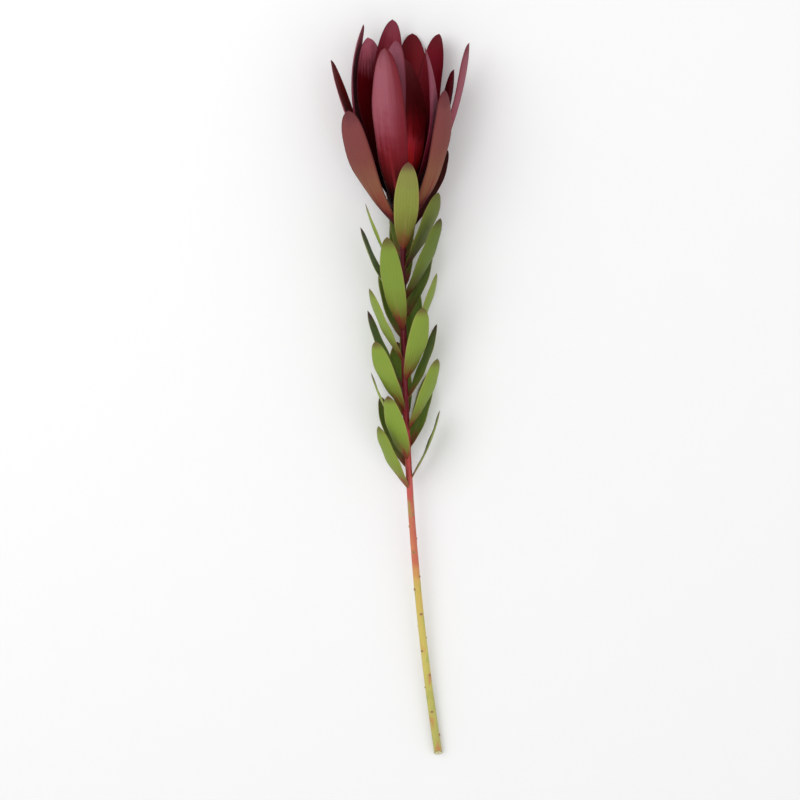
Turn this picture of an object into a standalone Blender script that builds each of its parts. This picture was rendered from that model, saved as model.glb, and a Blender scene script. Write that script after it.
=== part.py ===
"""One cut leucadendron stem, lying on a flat surface.

Metres, +Z up. The stem lies along +Y with its flower head at the +Y end, and the surface is z = 0. Leaves
and bracts grow from it in one spiral, a golden angle apart. Organ 0 is the topmost leaf: leaves count down
from it towards the cut end, and bracts count up from it to the middle of the head. An azimuth of zero
faces up, the side that a viewer sees, and a quarter turn faces +X.
"""

import math
import random
from dataclasses import dataclass, replace

import bmesh
import bpy
from mathutils import Vector
from mathutils.bvhtree import BVHTree

# The plant's axis, by the distance along +Y from the cut end
STEM_LENGTH = 0.318
AXIS_START = Vector((0.0018, -0.2235, 0.00265))
AXIS_RISE = 0.064
SIDE_BEND = 0.022
SIDE_BEND_POWER = 2.2

# The woody stem
CUT_RADIUS = 0.0025
NECK_RADIUS = 0.0017
CUT_SLANT = 0.8
STEM_SIDES = 10
STEM_RINGS = 16

# The spiral of leaves and bracts
GOLDEN_ANGLE = math.radians(137.508)
FRONT_AZIMUTH = math.radians(10.0)
LEAVES = 25
BRACTS = 24
TOP_LEAF_DROP = 0.004
INTERNODE = 0.00605

# How far one organ may differ from the next
SEED = 41
TURN_SPREAD = math.radians(4.0)
ROOT_LEAN_SPREAD = math.radians(1.0)
TIP_LEAN_SPREAD = math.radians(2.0)
SIZE_SPREAD = 0.04
TWIST_SPREAD = math.radians(9.0)
SWAY_SPREAD = math.radians(4.0)

# Leaf sizes are for the topmost and the lowest leaf; leans are at a leaf's root and its tip
LEAF_LENGTHS = (0.057, 0.046)
LEAF_WIDTHS = (0.0152, 0.0126)
LEAF_LEANS = (math.radians(37.0), math.radians(14.0))
LEAF_CUP = math.radians(16.0)
LEAF_THICKNESS = 0.0007
LEAF_SINK = 0.0012

# Bract sizes are for the outermost, a full-grown and an innermost one; leans are for the outside and inside
BRACT_LENGTHS = (0.066, 0.099, 0.044)
BRACT_WIDTHS = (0.0165, 0.0225, 0.0120)
BRACT_ROOT_LEANS = (math.radians(37.0), math.radians(27.0))
BRACT_TIP_LEANS = (math.radians(14.0), math.radians(-24.0))
BRACT_CUP = math.radians(27.0)
BRACT_THICKNESS = 0.0008
FULL_BRACT = 6
INNER_BRACTS = (16, 20)

# The head: its base and height along the axis, the receptacle that carries the bracts, and the cone
GAP = 0.0003
HEAD_BASE = STEM_LENGTH + GAP
RECEPTACLE_HEIGHT = 0.0355
RECEPTACLE_RADIUS = 0.0057
RECEPTACLE_SINK = 0.0014
RECEPTACLE_RINGS = 9
BRACT_CROWDING = 0.14
CONE_HEIGHT = 0.016
CONE_RADIUS = 0.0050
CONE_SIDES = 26
CONE_RINGS = 16
CONE_FOOT = 0.16
CONE_BLUNTNESS = 0.7
CONE_SPIRALS = (5, 8)
CONE_TURNS = 2.0
CONE_RELIEF = 0.0007
CONE_GROOVE = 0.4
CONE_PLAIN_FOOT = 0.1

# Each piece's colour and roughness
STEM_COLOUR = (0.24, 0.34, 0.08)
BRACT_COLOUR = (0.26, 0.03, 0.06)
CONE_COLOUR = (0.30, 0.12, 0.06)
BLADE_ROUGHNESS = 0.5
CONE_ROUGHNESS = 0.6
SHARP_ANGLE = math.radians(40.0)

# Points along and across a blade
BLADE_STATIONS = (0.0, 0.14, 0.30, 0.48, 0.66, 0.82, 0.93, 0.985, 1.0)
BLADE_ACROSS = (-1.0, -0.5, 0.0, 0.5, 1.0)
TIP_WIDTH = 0.10

# How blades are kept clear of one another past their roots
CLEARANCE = 0.0004
NEST_DEPTH = 15
ROOT_ZONE = 0.026
PRESS_STEP = 0.03
PRESS_STEPS = 12
PRESS_COST = 2.0


@dataclass(frozen=True)
class Outline:
    """A blade's half-width along its length, as a share of its widest."""

    base: float
    peak: float
    rise: float
    blunt: float

    def share(self, u):
        """The half-width's share of the widest, at a share u of the length."""
        if u < self.peak:
            grown = 1.0 - (1.0 - u / self.peak) ** self.rise
            return self.base + (1.0 - self.base) * grown
        past = (u - self.peak) / (1.0 - self.peak)
        return max(TIP_WIDTH, (1.0 - past * past) ** self.blunt)


LEAF_OUTLINE = Outline(base=0.19, peak=0.56, rise=2.1, blunt=0.52)
BRACT_OUTLINE = Outline(base=0.34, peak=0.60, rise=1.8, blunt=0.48)


@dataclass(frozen=True)
class Blade:
    """A leaf or a bract: its root on the plant's axis, and how it leans, narrows and cups."""

    index: int
    station: float
    root_radius: float
    azimuth: float
    length: float
    width: float
    thickness: float
    lean_root: float
    lean_tip: float
    cup: float
    twist: float
    sway: float
    outline: Outline


@dataclass(frozen=True)
class Departure:
    """How one organ departs from the spiral's rule, in degrees and shares."""

    turn: float = 0.0
    twist: float = 0.0
    lean_root: float = 0.0
    lean_tip: float = 0.0
    length: float = 1.0
    width: float = 1.0


# The organs that a viewer sees stand where the real ones do: leaves first, then bracts from the outside in
DEPARTURES = {
    -21: Departure(turn=-30.0, twist=-8.0),
    -18: Departure(twist=26.0),
    -16: Departure(turn=-16.0, twist=-22.0),
    -13: Departure(turn=17.0, twist=20.0),
    -8: Departure(turn=-9.0, length=1.22),
    -5: Departure(turn=14.0),
    -3: Departure(turn=-40.0, twist=10.0, length=0.9),
    -2: Departure(turn=-26.0, twist=24.0, length=0.95),
    -1: Departure(turn=-52.0, length=0.92),
    0: Departure(turn=-3.0, length=1.08, width=0.94),
    1: Departure(turn=-26.0, lean_root=10.0, lean_tip=8.0, length=0.86),
    2: Departure(turn=14.0, twist=-36.0, lean_root=9.0, lean_tip=-7.0, length=1.09, width=1.12),
    3: Departure(turn=-4.0, twist=16.0, lean_root=6.0, lean_tip=-15.0, width=0.94),
    5: Departure(turn=1.0, twist=4.0, lean_root=-2.0, lean_tip=-11.0, length=1.045),
    6: Departure(turn=-16.0, twist=26.0, lean_root=1.0, lean_tip=0.0, length=1.05),
    7: Departure(lean_root=5.0, lean_tip=10.0, length=0.93, width=0.85),
    8: Departure(turn=28.0, twist=-34.0, lean_root=6.0, lean_tip=-26.0, width=0.68),
    9: Departure(turn=2.0),
    10: Departure(turn=-48.0, twist=-10.0, lean_root=11.0, lean_tip=-19.0, length=1.12, width=0.85),
    11: Departure(turn=16.0, lean_root=4.0, lean_tip=10.0, length=0.78),
    12: Departure(turn=8.0, lean_root=3.0, lean_tip=-5.0, length=0.96, width=1.2),
    13: Departure(turn=-29.0, lean_root=-3.0, lean_tip=-7.0, length=0.92, width=0.85),
    14: Departure(turn=-2.0, lean_root=5.0, lean_tip=21.0, length=0.98, width=1.08),
    15: Departure(turn=-26.0, length=0.6),
    16: Departure(turn=-4.0, lean_root=-6.0, lean_tip=-22.0, length=0.83, width=0.9),
    17: Departure(turn=24.0, length=1.10),
}


def mix(low, high, share):
    """A value the given share of the way from low to high."""
    return low + (high - low) * share


def smooth(share):
    """A share eased in and out, and kept between 0 and 1."""
    share = min(max(share, 0.0), 1.0)
    return share * share * (3.0 - 2.0 * share)


def axis_point(station):
    """A point on the plant's axis."""
    left = max(0.0, 1.0 - station / STEM_LENGTH)
    side = SIDE_BEND * left ** SIDE_BEND_POWER
    return AXIS_START + Vector((side, station, AXIS_RISE * station))


def axis_frame(station):
    """The axis's direction, and its right and front directions, at a station."""
    step = 0.001
    along = (axis_point(station + step) - axis_point(station - step)).normalized()
    right = along.cross(Vector((0.0, 0.0, 1.0))).normalized()
    return along, right, right.cross(along)


def stem_radius(station):
    """The stem's radius, which flares a little at the neck."""
    share = station / STEM_LENGTH
    neck = smooth((share - 0.97) / 0.03)
    return mix(CUT_RADIUS, NECK_RADIUS, share ** 0.8) + 0.0003 * neck


def receptacle_radius(height):
    """The receptacle's radius at a height above the head's base."""
    share = height / RECEPTACLE_HEIGHT
    swell = smooth(share / 0.45)
    shoulder = smooth((share - 0.75) / 0.25)
    return mix(NECK_RADIUS + 0.0002, RECEPTACLE_RADIUS, swell) - 0.0006 * shoulder


def leaf(index):
    """Leaf number index, 0 for the topmost and negative below it."""
    age = -index / (LEAVES - 1)
    station = STEM_LENGTH - TOP_LEAF_DROP + INTERNODE * index
    return Blade(
        index=index,
        station=station,
        root_radius=stem_radius(station) - LEAF_SINK,
        azimuth=FRONT_AZIMUTH + GOLDEN_ANGLE * index,
        length=mix(*LEAF_LENGTHS, age),
        width=mix(*LEAF_WIDTHS, age),
        thickness=LEAF_THICKNESS,
        lean_root=LEAF_LEANS[0],
        lean_tip=LEAF_LEANS[1],
        cup=LEAF_CUP,
        twist=0.0,
        sway=0.0,
        outline=LEAF_OUTLINE,
    )


def bract(index):
    """Bract number index, 1 for the outermost and rising to the middle of the head."""
    height = RECEPTACLE_HEIGHT * (1.0 - math.exp(-BRACT_CROWDING * index))
    grown = smooth(index / FULL_BRACT)
    inner = smooth((index - INNER_BRACTS[0]) / (INNER_BRACTS[1] - INNER_BRACTS[0]))
    depth = index / BRACTS
    return Blade(
        index=index,
        station=HEAD_BASE + height,
        root_radius=receptacle_radius(height) - RECEPTACLE_SINK,
        azimuth=FRONT_AZIMUTH + GOLDEN_ANGLE * index,
        length=mix(mix(BRACT_LENGTHS[0], BRACT_LENGTHS[1], grown), BRACT_LENGTHS[2], inner),
        width=mix(mix(BRACT_WIDTHS[0], BRACT_WIDTHS[1], grown), BRACT_WIDTHS[2], inner),
        thickness=BRACT_THICKNESS,
        lean_root=mix(*BRACT_ROOT_LEANS, depth),
        lean_tip=mix(*BRACT_TIP_LEANS, depth),
        cup=BRACT_CUP,
        twist=0.0,
        sway=0.0,
        outline=BRACT_OUTLINE,
    )


def varied(blade):
    """The blade with its own seeded variation and any departure from the rule."""
    draw = random.Random(SEED + blade.index)
    turn, lean, size, twist, sway = (draw.uniform(-1.0, 1.0) for _ in range(5))
    own = DEPARTURES.get(blade.index, Departure())
    return replace(
        blade,
        azimuth=blade.azimuth + TURN_SPREAD * turn + math.radians(own.turn),
        lean_root=blade.lean_root + ROOT_LEAN_SPREAD * lean + math.radians(own.lean_root),
        lean_tip=blade.lean_tip + TIP_LEAN_SPREAD * lean + math.radians(own.lean_tip),
        length=blade.length * (1.0 + SIZE_SPREAD * size) * own.length,
        width=blade.width * (1.0 - SIZE_SPREAD * size) * own.width,
        twist=TWIST_SPREAD * twist + math.radians(own.twist),
        sway=SWAY_SPREAD * sway,
    )


def blade_point(blade, u, v, side):
    """A point on the blade's surface.

    u runs from root to tip and v from edge to edge, -1 to 1; side is 1 on the outer face, -1 on the inner.
    """
    along, right, front = axis_frame(blade.station)
    radial = math.cos(blade.azimuth) * front + math.sin(blade.azimuth) * right
    across = math.cos(blade.azimuth) * right - math.sin(blade.azimuth) * front

    turned = blade.lean_tip - blade.lean_root
    lean = blade.lean_root + turned * u
    out = (math.cos(blade.lean_root) - math.cos(lean)) / turned
    up = (math.sin(lean) - math.sin(blade.lean_root)) / turned
    drift = blade.length * math.tan(blade.sway) * u * u / 2.0
    centre = axis_point(blade.station) + along * (blade.length * up)
    centre += radial * (blade.root_radius + blade.length * out) + across * drift

    outward = math.cos(lean) * radial - math.sin(lean) * along
    turn = blade.twist * u
    wide = math.cos(turn) * across + math.sin(turn) * outward
    normal = math.cos(turn) * outward - math.sin(turn) * across

    half = 0.5 * blade.width * blade.outline.share(u)
    bend = blade.cup * v
    point = centre + wide * (half * math.sin(bend) / blade.cup)
    point -= normal * (half * (1.0 - math.cos(bend)) / blade.cup)
    surface = math.cos(bend) * normal + math.sin(bend) * wide
    return point + surface * (side * blade.thickness / 2.0)


def blade_grid(blade, side):
    """Rows of points over one face of the blade."""
    return [[blade_point(blade, u, v, side) for v in BLADE_ACROSS] for u in BLADE_STATIONS]


def padded_tree(blade, root_zone):
    """A search tree over the blade's two faces, padded by the clearance and without its root zone."""
    padded = replace(blade, thickness=blade.thickness + CLEARANCE)
    columns = len(BLADE_ACROSS)
    first_row = sum(1 for u in BLADE_STATIONS if u * blade.length < root_zone)
    points, faces = [], []
    for side in (1, -1):
        start = len(points)
        rows = blade_grid(padded, side)[first_row:]
        points.extend(point for row in rows for point in row)
        for i in range(len(rows) - 1):
            for j in range(columns - 1):
                corner = start + i * columns + j
                faces.append((corner, corner + 1, corner + columns + 1))
                faces.append((corner, corner + columns + 1, corner + columns))
    return BVHTree.FromPolygons(points, faces)


def pressed(blade, share):
    """The blade pressed towards the axis: its leans are cut to a share."""
    return replace(blade, lean_root=blade.lean_root * share, lean_tip=blade.lean_tip * share)


def on_surface(blade):
    """The blade, pressed towards the axis as far as the surface under it asks."""

    def clears(candidate):
        points = [p for side in (1, -1) for row in blade_grid(candidate, side) for p in row]
        return min(p.z for p in points) >= 0.0

    if clears(blade):
        return blade
    low, high = 0.0, 1.0
    for _ in range(20):
        middle = (low + high) / 2.0
        if clears(pressed(blade, middle)):
            low = middle
        else:
            high = middle
    return pressed(blade, low)


def nested(blade, placed):
    """The blade, pressed further where that makes it cross the blades placed before it less."""
    near = [other for other in placed if blade.index - other.index <= NEST_DEPTH]

    def crossings(candidate):
        count = 0
        for other in near:
            root_zone = 0.0 if blade.index > 0 >= other.index else ROOT_ZONE
            mine, theirs = (padded_tree(each, root_zone) for each in (candidate, other))
            count += len(mine.overlap(theirs))
        return count

    best, least = blade, math.inf
    for step in range(PRESS_STEPS):
        candidate = pressed(blade, 1.0 - PRESS_STEP * step)
        count = crossings(candidate)
        cost = count + PRESS_COST * step
        if cost < least:
            best, least = candidate, cost
        if count == 0:
            break
    return best


def make_object(name, mesh_builder):
    """A new object in the scene, from a bmesh whose faces are turned outwards."""
    bmesh.ops.recalc_face_normals(mesh_builder, faces=mesh_builder.faces)
    mesh = bpy.data.meshes.new(name)
    mesh_builder.to_mesh(mesh)
    mesh_builder.free()
    solid = bpy.data.objects.new(name, mesh)
    bpy.context.scene.collection.objects.link(solid)
    return solid


def blade_object(blade):
    """A closed blade, split into triangles alike on both faces."""
    builder = bmesh.new()
    outer, inner = (
        [[builder.verts.new(point) for point in row] for row in blade_grid(blade, side)] for side in (1, -1)
    )
    rows, columns = len(BLADE_STATIONS), len(BLADE_ACROSS)
    for i in range(rows - 1):
        for j in range(columns - 1):
            for grid in (outer, inner):
                near, far = grid[i], grid[i + 1]
                builder.faces.new((near[j], near[j + 1], far[j + 1]))
                builder.faces.new((near[j], far[j + 1], far[j]))
    rim = [(i, 0) for i in range(rows)] + [(rows - 1, j) for j in range(1, columns)]
    rim += [(i, columns - 1) for i in range(rows - 2, -1, -1)] + [(0, j) for j in range(columns - 2, 0, -1)]
    for (i, j), (k, m) in zip(rim, rim[1:] + rim[:1]):
        builder.faces.new((outer[i][j], outer[k][m], inner[k][m]))
        builder.faces.new((outer[i][j], inner[k][m], inner[i][j]))
    return make_object(f"blade_{blade.index}", builder)


def turned_object(name, rings):
    """A closed solid through rings of points, with flat ends; a ring of one point is a pole."""
    builder = bmesh.new()
    rings = [[builder.verts.new(point) for point in ring] for ring in rings]
    for near, far in zip(rings, rings[1:]):
        count = len(near)
        for j in range(count):
            k = (j + 1) % count
            if len(far) == 1:
                builder.faces.new((near[j], near[k], far[0]))
            else:
                builder.faces.new((near[j], near[k], far[k], far[j]))
    builder.faces.new(rings[0])
    if len(rings[-1]) > 1:
        builder.faces.new(rings[-1])
    return make_object(name, builder)


def ring_points(station, radii, slant=0.0):
    """Points round the axis at evenly spaced angles, one for each radius, on a plane that may be slanted."""
    along, right, front = axis_frame(station)
    centre = axis_point(station)
    points = []
    for j, radius in enumerate(radii):
        angle = 2.0 * math.pi * j / len(radii)
        spoke = math.cos(angle) * front + math.sin(angle) * right
        points.append(centre + spoke * radius + along * (slant * radius * math.cos(angle)))
    return points


def stem_core():
    """The woody stem, with its slanted cut end."""
    rings = []
    for i in range(STEM_RINGS + 1):
        station = STEM_LENGTH * i / STEM_RINGS
        slant = CUT_SLANT if i == 0 else 0.0
        rings.append(ring_points(station, [stem_radius(station)] * STEM_SIDES, slant))
    return turned_object("stem_core", rings)


def receptacle_core():
    """The receptacle, on which the bracts are seated."""
    rings = []
    for i in range(RECEPTACLE_RINGS + 1):
        height = RECEPTACLE_HEIGHT * i / RECEPTACLE_RINGS
        rings.append(ring_points(HEAD_BASE + height, [receptacle_radius(height)] * STEM_SIDES))
    return turned_object("receptacle_core", rings)


def cone_radius(share, angle):
    """The cone's radius at a share of its height, with its scales raised along two sets of spirals."""
    left_spirals, right_spirals = CONE_SPIRALS
    plump = math.sin(math.pi * mix(CONE_FOOT, 1.0, share)) ** CONE_BLUNTNESS
    climb = 2.0 * math.pi * CONE_TURNS * share
    left = math.cos((left_spirals * angle + climb) / 2.0)
    right = math.cos((right_spirals * angle - climb) / 2.0)
    scale = (abs(left * right) - CONE_GROOVE) * smooth(share / CONE_PLAIN_FOOT)
    return plump * (CONE_RADIUS + CONE_RELIEF * scale)


def seed_cone():
    """The small cone in the middle of the head."""
    base = HEAD_BASE + RECEPTACLE_HEIGHT + GAP
    rings = []
    for i in range(CONE_RINGS):
        share = i / CONE_RINGS
        radii = [cone_radius(share, 2.0 * math.pi * j / CONE_SIDES) for j in range(CONE_SIDES)]
        rings.append(ring_points(base + CONE_HEIGHT * share, radii))
    rings.append([axis_point(base + CONE_HEIGHT)])
    return turned_object("seed_cone", rings)


def outer_shell(mesh):
    """Leaves only the mesh's largest connected surface: no sealed hollow and no loose scrap."""
    builder = bmesh.new()
    builder.from_mesh(mesh)
    waiting = set(builder.verts)
    shells = []
    while waiting:
        shell = set()
        edge = [waiting.pop()]
        while edge:
            vert = edge.pop()
            shell.add(vert)
            near = {link.other_vert(vert) for link in vert.link_edges} & waiting
            waiting -= near
            edge.extend(near)
        shells.append(shell)
    shells.sort(key=len)
    inner = [vert for shell in shells[:-1] for vert in shell]
    bmesh.ops.delete(builder, geom=inner, context="VERTS")
    builder.to_mesh(mesh)
    builder.free()


def joined(name, core, blades):
    """One closed solid: the core with the blades that grow from it."""
    repeats = bpy.data.collections.new(f"{name}_blades")
    bpy.context.scene.collection.children.link(repeats)
    for blade in blades:
        solid = blade_object(blade)
        bpy.context.scene.collection.objects.unlink(solid)
        repeats.objects.link(solid)
    union = core.modifiers.new("blades", "BOOLEAN")
    union.operation = "UNION"
    union.operand_type = "COLLECTION"
    union.collection = repeats
    union.solver = "EXACT"
    bpy.context.view_layer.update()
    evaluated = core.evaluated_get(bpy.context.evaluated_depsgraph_get())
    mesh = bpy.data.meshes.new_from_object(evaluated)
    core.modifiers.clear()
    outer_shell(mesh)
    core.data = mesh
    for solid in list(repeats.objects):
        bpy.data.objects.remove(solid)
    bpy.data.collections.remove(repeats)
    core.name = name
    mesh.name = name
    return core


def painted(solid, colour, roughness):
    """Gives a solid its own material, and smooth shading with sharp rims."""
    material = bpy.data.materials.new(solid.name)
    material.use_nodes = True
    shader = material.node_tree.nodes["Principled BSDF"]
    shader.inputs["Base Color"].default_value = (*colour, 1.0)
    shader.inputs["Roughness"].default_value = roughness
    shader.inputs["Metallic"].default_value = 0.0
    solid.data.materials.clear()
    solid.data.materials.append(material)
    solid.data.shade_smooth()
    solid.data.set_sharp_from_angle(angle=SHARP_ANGLE)


def all_blades():
    """Every leaf and bract, from the lowest up, each settled on the surface and inside those below it."""
    placed = []
    for index in range(1 - LEAVES, BRACTS + 1):
        organ = leaf(index) if index <= 0 else bract(index)
        placed.append(nested(on_surface(varied(organ)), placed))
    return placed[:LEAVES], placed[LEAVES:]


def main():
    """Models the stem, its head and its cone."""
    for old in list(bpy.data.objects):
        bpy.data.objects.remove(old)
    leaves, bracts = all_blades()
    painted(joined("leafy_stem", stem_core(), leaves), STEM_COLOUR, BLADE_ROUGHNESS)
    painted(joined("bract_rosette", receptacle_core(), bracts), BRACT_COLOUR, BLADE_ROUGHNESS)
    painted(seed_cone(), CONE_COLOUR, CONE_ROUGHNESS)


if __name__ == "__main__":
    main()
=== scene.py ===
"""The looks of a cut leucadendron stem that lies on a pale floor, its flower head away from the viewer.

Metres, +Z up, in the CAD model's own frame: the stem lies along +Y with its head at the +Y end, on z = 0.
Leaves and bracts grow from its axis in one spiral. Organ 0 is the topmost leaf: leaves count down from it
towards the cut end, and bracts count up from it to the middle of the head.
"""

import logging
import math
import random
from dataclasses import dataclass, field, replace
from enum import Enum
from typing import Any, Iterable, Mapping, Optional, Sequence, Union

import bmesh
import bpy
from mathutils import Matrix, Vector
from mathutils.bvhtree import BVHTree


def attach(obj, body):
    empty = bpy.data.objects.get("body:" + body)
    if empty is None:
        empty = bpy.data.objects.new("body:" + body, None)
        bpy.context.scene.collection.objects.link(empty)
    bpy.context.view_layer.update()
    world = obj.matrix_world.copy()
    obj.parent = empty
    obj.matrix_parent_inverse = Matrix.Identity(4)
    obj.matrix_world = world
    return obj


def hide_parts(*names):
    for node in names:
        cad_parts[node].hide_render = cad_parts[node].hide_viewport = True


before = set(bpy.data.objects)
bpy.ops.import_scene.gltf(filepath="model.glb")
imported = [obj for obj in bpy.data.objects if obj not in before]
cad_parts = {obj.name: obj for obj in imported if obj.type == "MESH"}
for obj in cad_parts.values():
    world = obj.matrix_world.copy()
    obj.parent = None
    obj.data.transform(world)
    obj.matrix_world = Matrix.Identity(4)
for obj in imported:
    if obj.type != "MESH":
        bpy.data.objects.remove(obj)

log = logging.getLogger("leucadendron")
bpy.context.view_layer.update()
MILLIMETRE = 0.001
FULL_TURN = 2.0 * math.pi
GOLDEN_ANGLE = math.radians(137.508)

Colour = tuple[float, float, float]
Stops = tuple[tuple[float, Colour], ...]
Zone = tuple[float, float]


class Node(Enum):
    """The CAD nodes, each of which a dressed piece stands for."""

    STEM = "leafy_stem"
    HEAD = "bract_rosette"
    CONE = "seed_cone"


class Slot(Enum):
    """The record's material slots."""

    LEAF = "leaf"
    BRACT = "bract"
    CONE = "cone"
    BARK = "bark"


def mix(low: float, high: float, share: float) -> float:
    """A value the given share of the way from low to high."""
    return low + (high - low) * share


def smooth(share: float) -> float:
    """A share eased in and out, and kept between 0 and 1."""
    share = min(max(share, 0.0), 1.0)
    return share * share * (3.0 - 2.0 * share)


def srgb(red: int, green: int, blue: int) -> Colour:
    """A colour in the linear values that shaders take.

    Args:
        red: Its red as a screen shows it, 0 to 255.
        green: Its green.
        blue: Its blue.

    Returns:
        The colour.
    """

    def linear(value: int) -> float:
        """One part of the colour in linear light."""
        share = value / 255.0
        return share / 12.92 if share <= 0.04045 else ((share + 0.055) / 1.055) ** 2.4

    return linear(red), linear(green), linear(blue)


def shades(*steps: tuple[float, int, int, int]) -> Stops:
    """A ramp's stops, each given as its place and its colour as a screen shows it."""
    return tuple((place, srgb(*colour)) for place, *colour in steps)


@dataclass(frozen=True)
class Axis:
    """The line that the plant grows along: it rises a little and bends aside towards the cut end."""

    start: tuple[float, float, float] = (0.0018, -0.2235, 0.00265)
    rise: float = 0.064
    side_bend: float = 0.022
    bend_power: float = 2.2
    stem_length: float = 0.318

    def point(self, station: float) -> Vector:
        """A point of the line.

        Args:
            station: The distance along +Y from the cut end.

        Returns:
            The point.
        """
        left = max(0.0, 1.0 - station / self.stem_length)
        side = self.side_bend * left ** self.bend_power
        return Vector(self.start) + Vector((side, station, self.rise * station))

    def frame(self, station: float) -> tuple[Vector, Vector, Vector]:
        """The directions that the line has of its own.

        Args:
            station: The distance along +Y from the cut end.

        Returns:
            Its direction there, its right and its front.
        """
        step = MILLIMETRE
        along = (self.point(station + step) - self.point(station - step)).normalized()
        right = along.cross(Vector((0.0, 0.0, 1.0))).normalized()
        return along, right, right.cross(along)


@dataclass(frozen=True)
class Outline:
    """A blade's half-width along its length, as a share of its widest."""

    base: float
    peak: float
    rise: float
    blunt: float

    def share(self, u: float, tip_width: float) -> float:
        """The share at a station.

        Args:
            u: The share of the blade's length from its root.
            tip_width: The least share, which the very tip keeps.

        Returns:
            The half-width's share of the widest.
        """
        if u < self.peak:
            grown = 1.0 - (1.0 - u / self.peak) ** self.rise
            return self.base + (1.0 - self.base) * grown
        past = (u - self.peak) / (1.0 - self.peak)
        return max(tip_width, (1.0 - past * past) ** self.blunt)


@dataclass(frozen=True)
class Departure:
    """How one organ departs from the spiral's rule, in degrees and shares, and in its colouring.

    Its inner face may be rosy towards the tip, its outer face may carry painted shade down one side, and
    all of it may be darkened with painted shade.
    """

    turn: float = 0.0
    twist: float = 0.0
    lean_root: float = 0.0
    lean_tip: float = 0.0
    length: float = 1.0
    width: float = 1.0
    rosy: float = 0.0
    ruddy: float = 0.0
    dark: float = 0.0

    def colouring(self) -> dict[str, float]:
        """The marks that its colouring leaves on a blade's points."""
        return {"rosy": self.rosy, "ruddy": self.ruddy, "dark": self.dark}


@dataclass(frozen=True)
class Blade:
    """A leaf or a bract: its root on the axis, and how it leans, narrows and cups."""

    index: int
    station: float
    root_radius: float
    azimuth: float
    length: float
    width: float
    thickness: float
    lean_root: float
    lean_tip: float
    cup: float
    outline: Outline
    axis: Axis
    twist: float = 0.0
    sway: float = 0.0

    def pressed(self, share: float) -> "Blade":
        """The blade pressed towards the axis: its leans are cut to a share."""
        return replace(self, lean_root=self.lean_root * share, lean_tip=self.lean_tip * share)

    def skin(self, u: float, v: float, tip_width: float) -> tuple[Vector, Vector, float]:
        """The blade's middle surface.

        Args:
            u: The share of the length, 0 at the root and 1 at the tip.
            v: The place across, from -1 at one margin to 1 at the other.
            tip_width: The least half-width, as a share of the widest.

        Returns:
            The point, the direction that the outer face looks in there, and the half-width.
        """
        along, right, front = self.axis.frame(self.station)
        radial = math.cos(self.azimuth) * front + math.sin(self.azimuth) * right
        across = math.cos(self.azimuth) * right - math.sin(self.azimuth) * front

        turned = self.lean_tip - self.lean_root
        lean = self.lean_root + turned * u
        out = (math.cos(self.lean_root) - math.cos(lean)) / turned
        up = (math.sin(lean) - math.sin(self.lean_root)) / turned
        drift = self.length * math.tan(self.sway) * u * u / 2.0
        centre = self.axis.point(self.station) + along * (self.length * up)
        centre += radial * (self.root_radius + self.length * out) + across * drift

        outward = math.cos(lean) * radial - math.sin(lean) * along
        turn = self.twist * u
        wide = math.cos(turn) * across + math.sin(turn) * outward
        normal = math.cos(turn) * outward - math.sin(turn) * across

        half = 0.5 * self.width * self.outline.share(u, tip_width)
        bend = self.cup * v
        point = centre + wide * (half * math.sin(bend) / self.cup)
        point -= normal * (half * (1.0 - math.cos(bend)) / self.cup)
        return point, math.cos(bend) * normal + math.sin(bend) * wide, half


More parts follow.
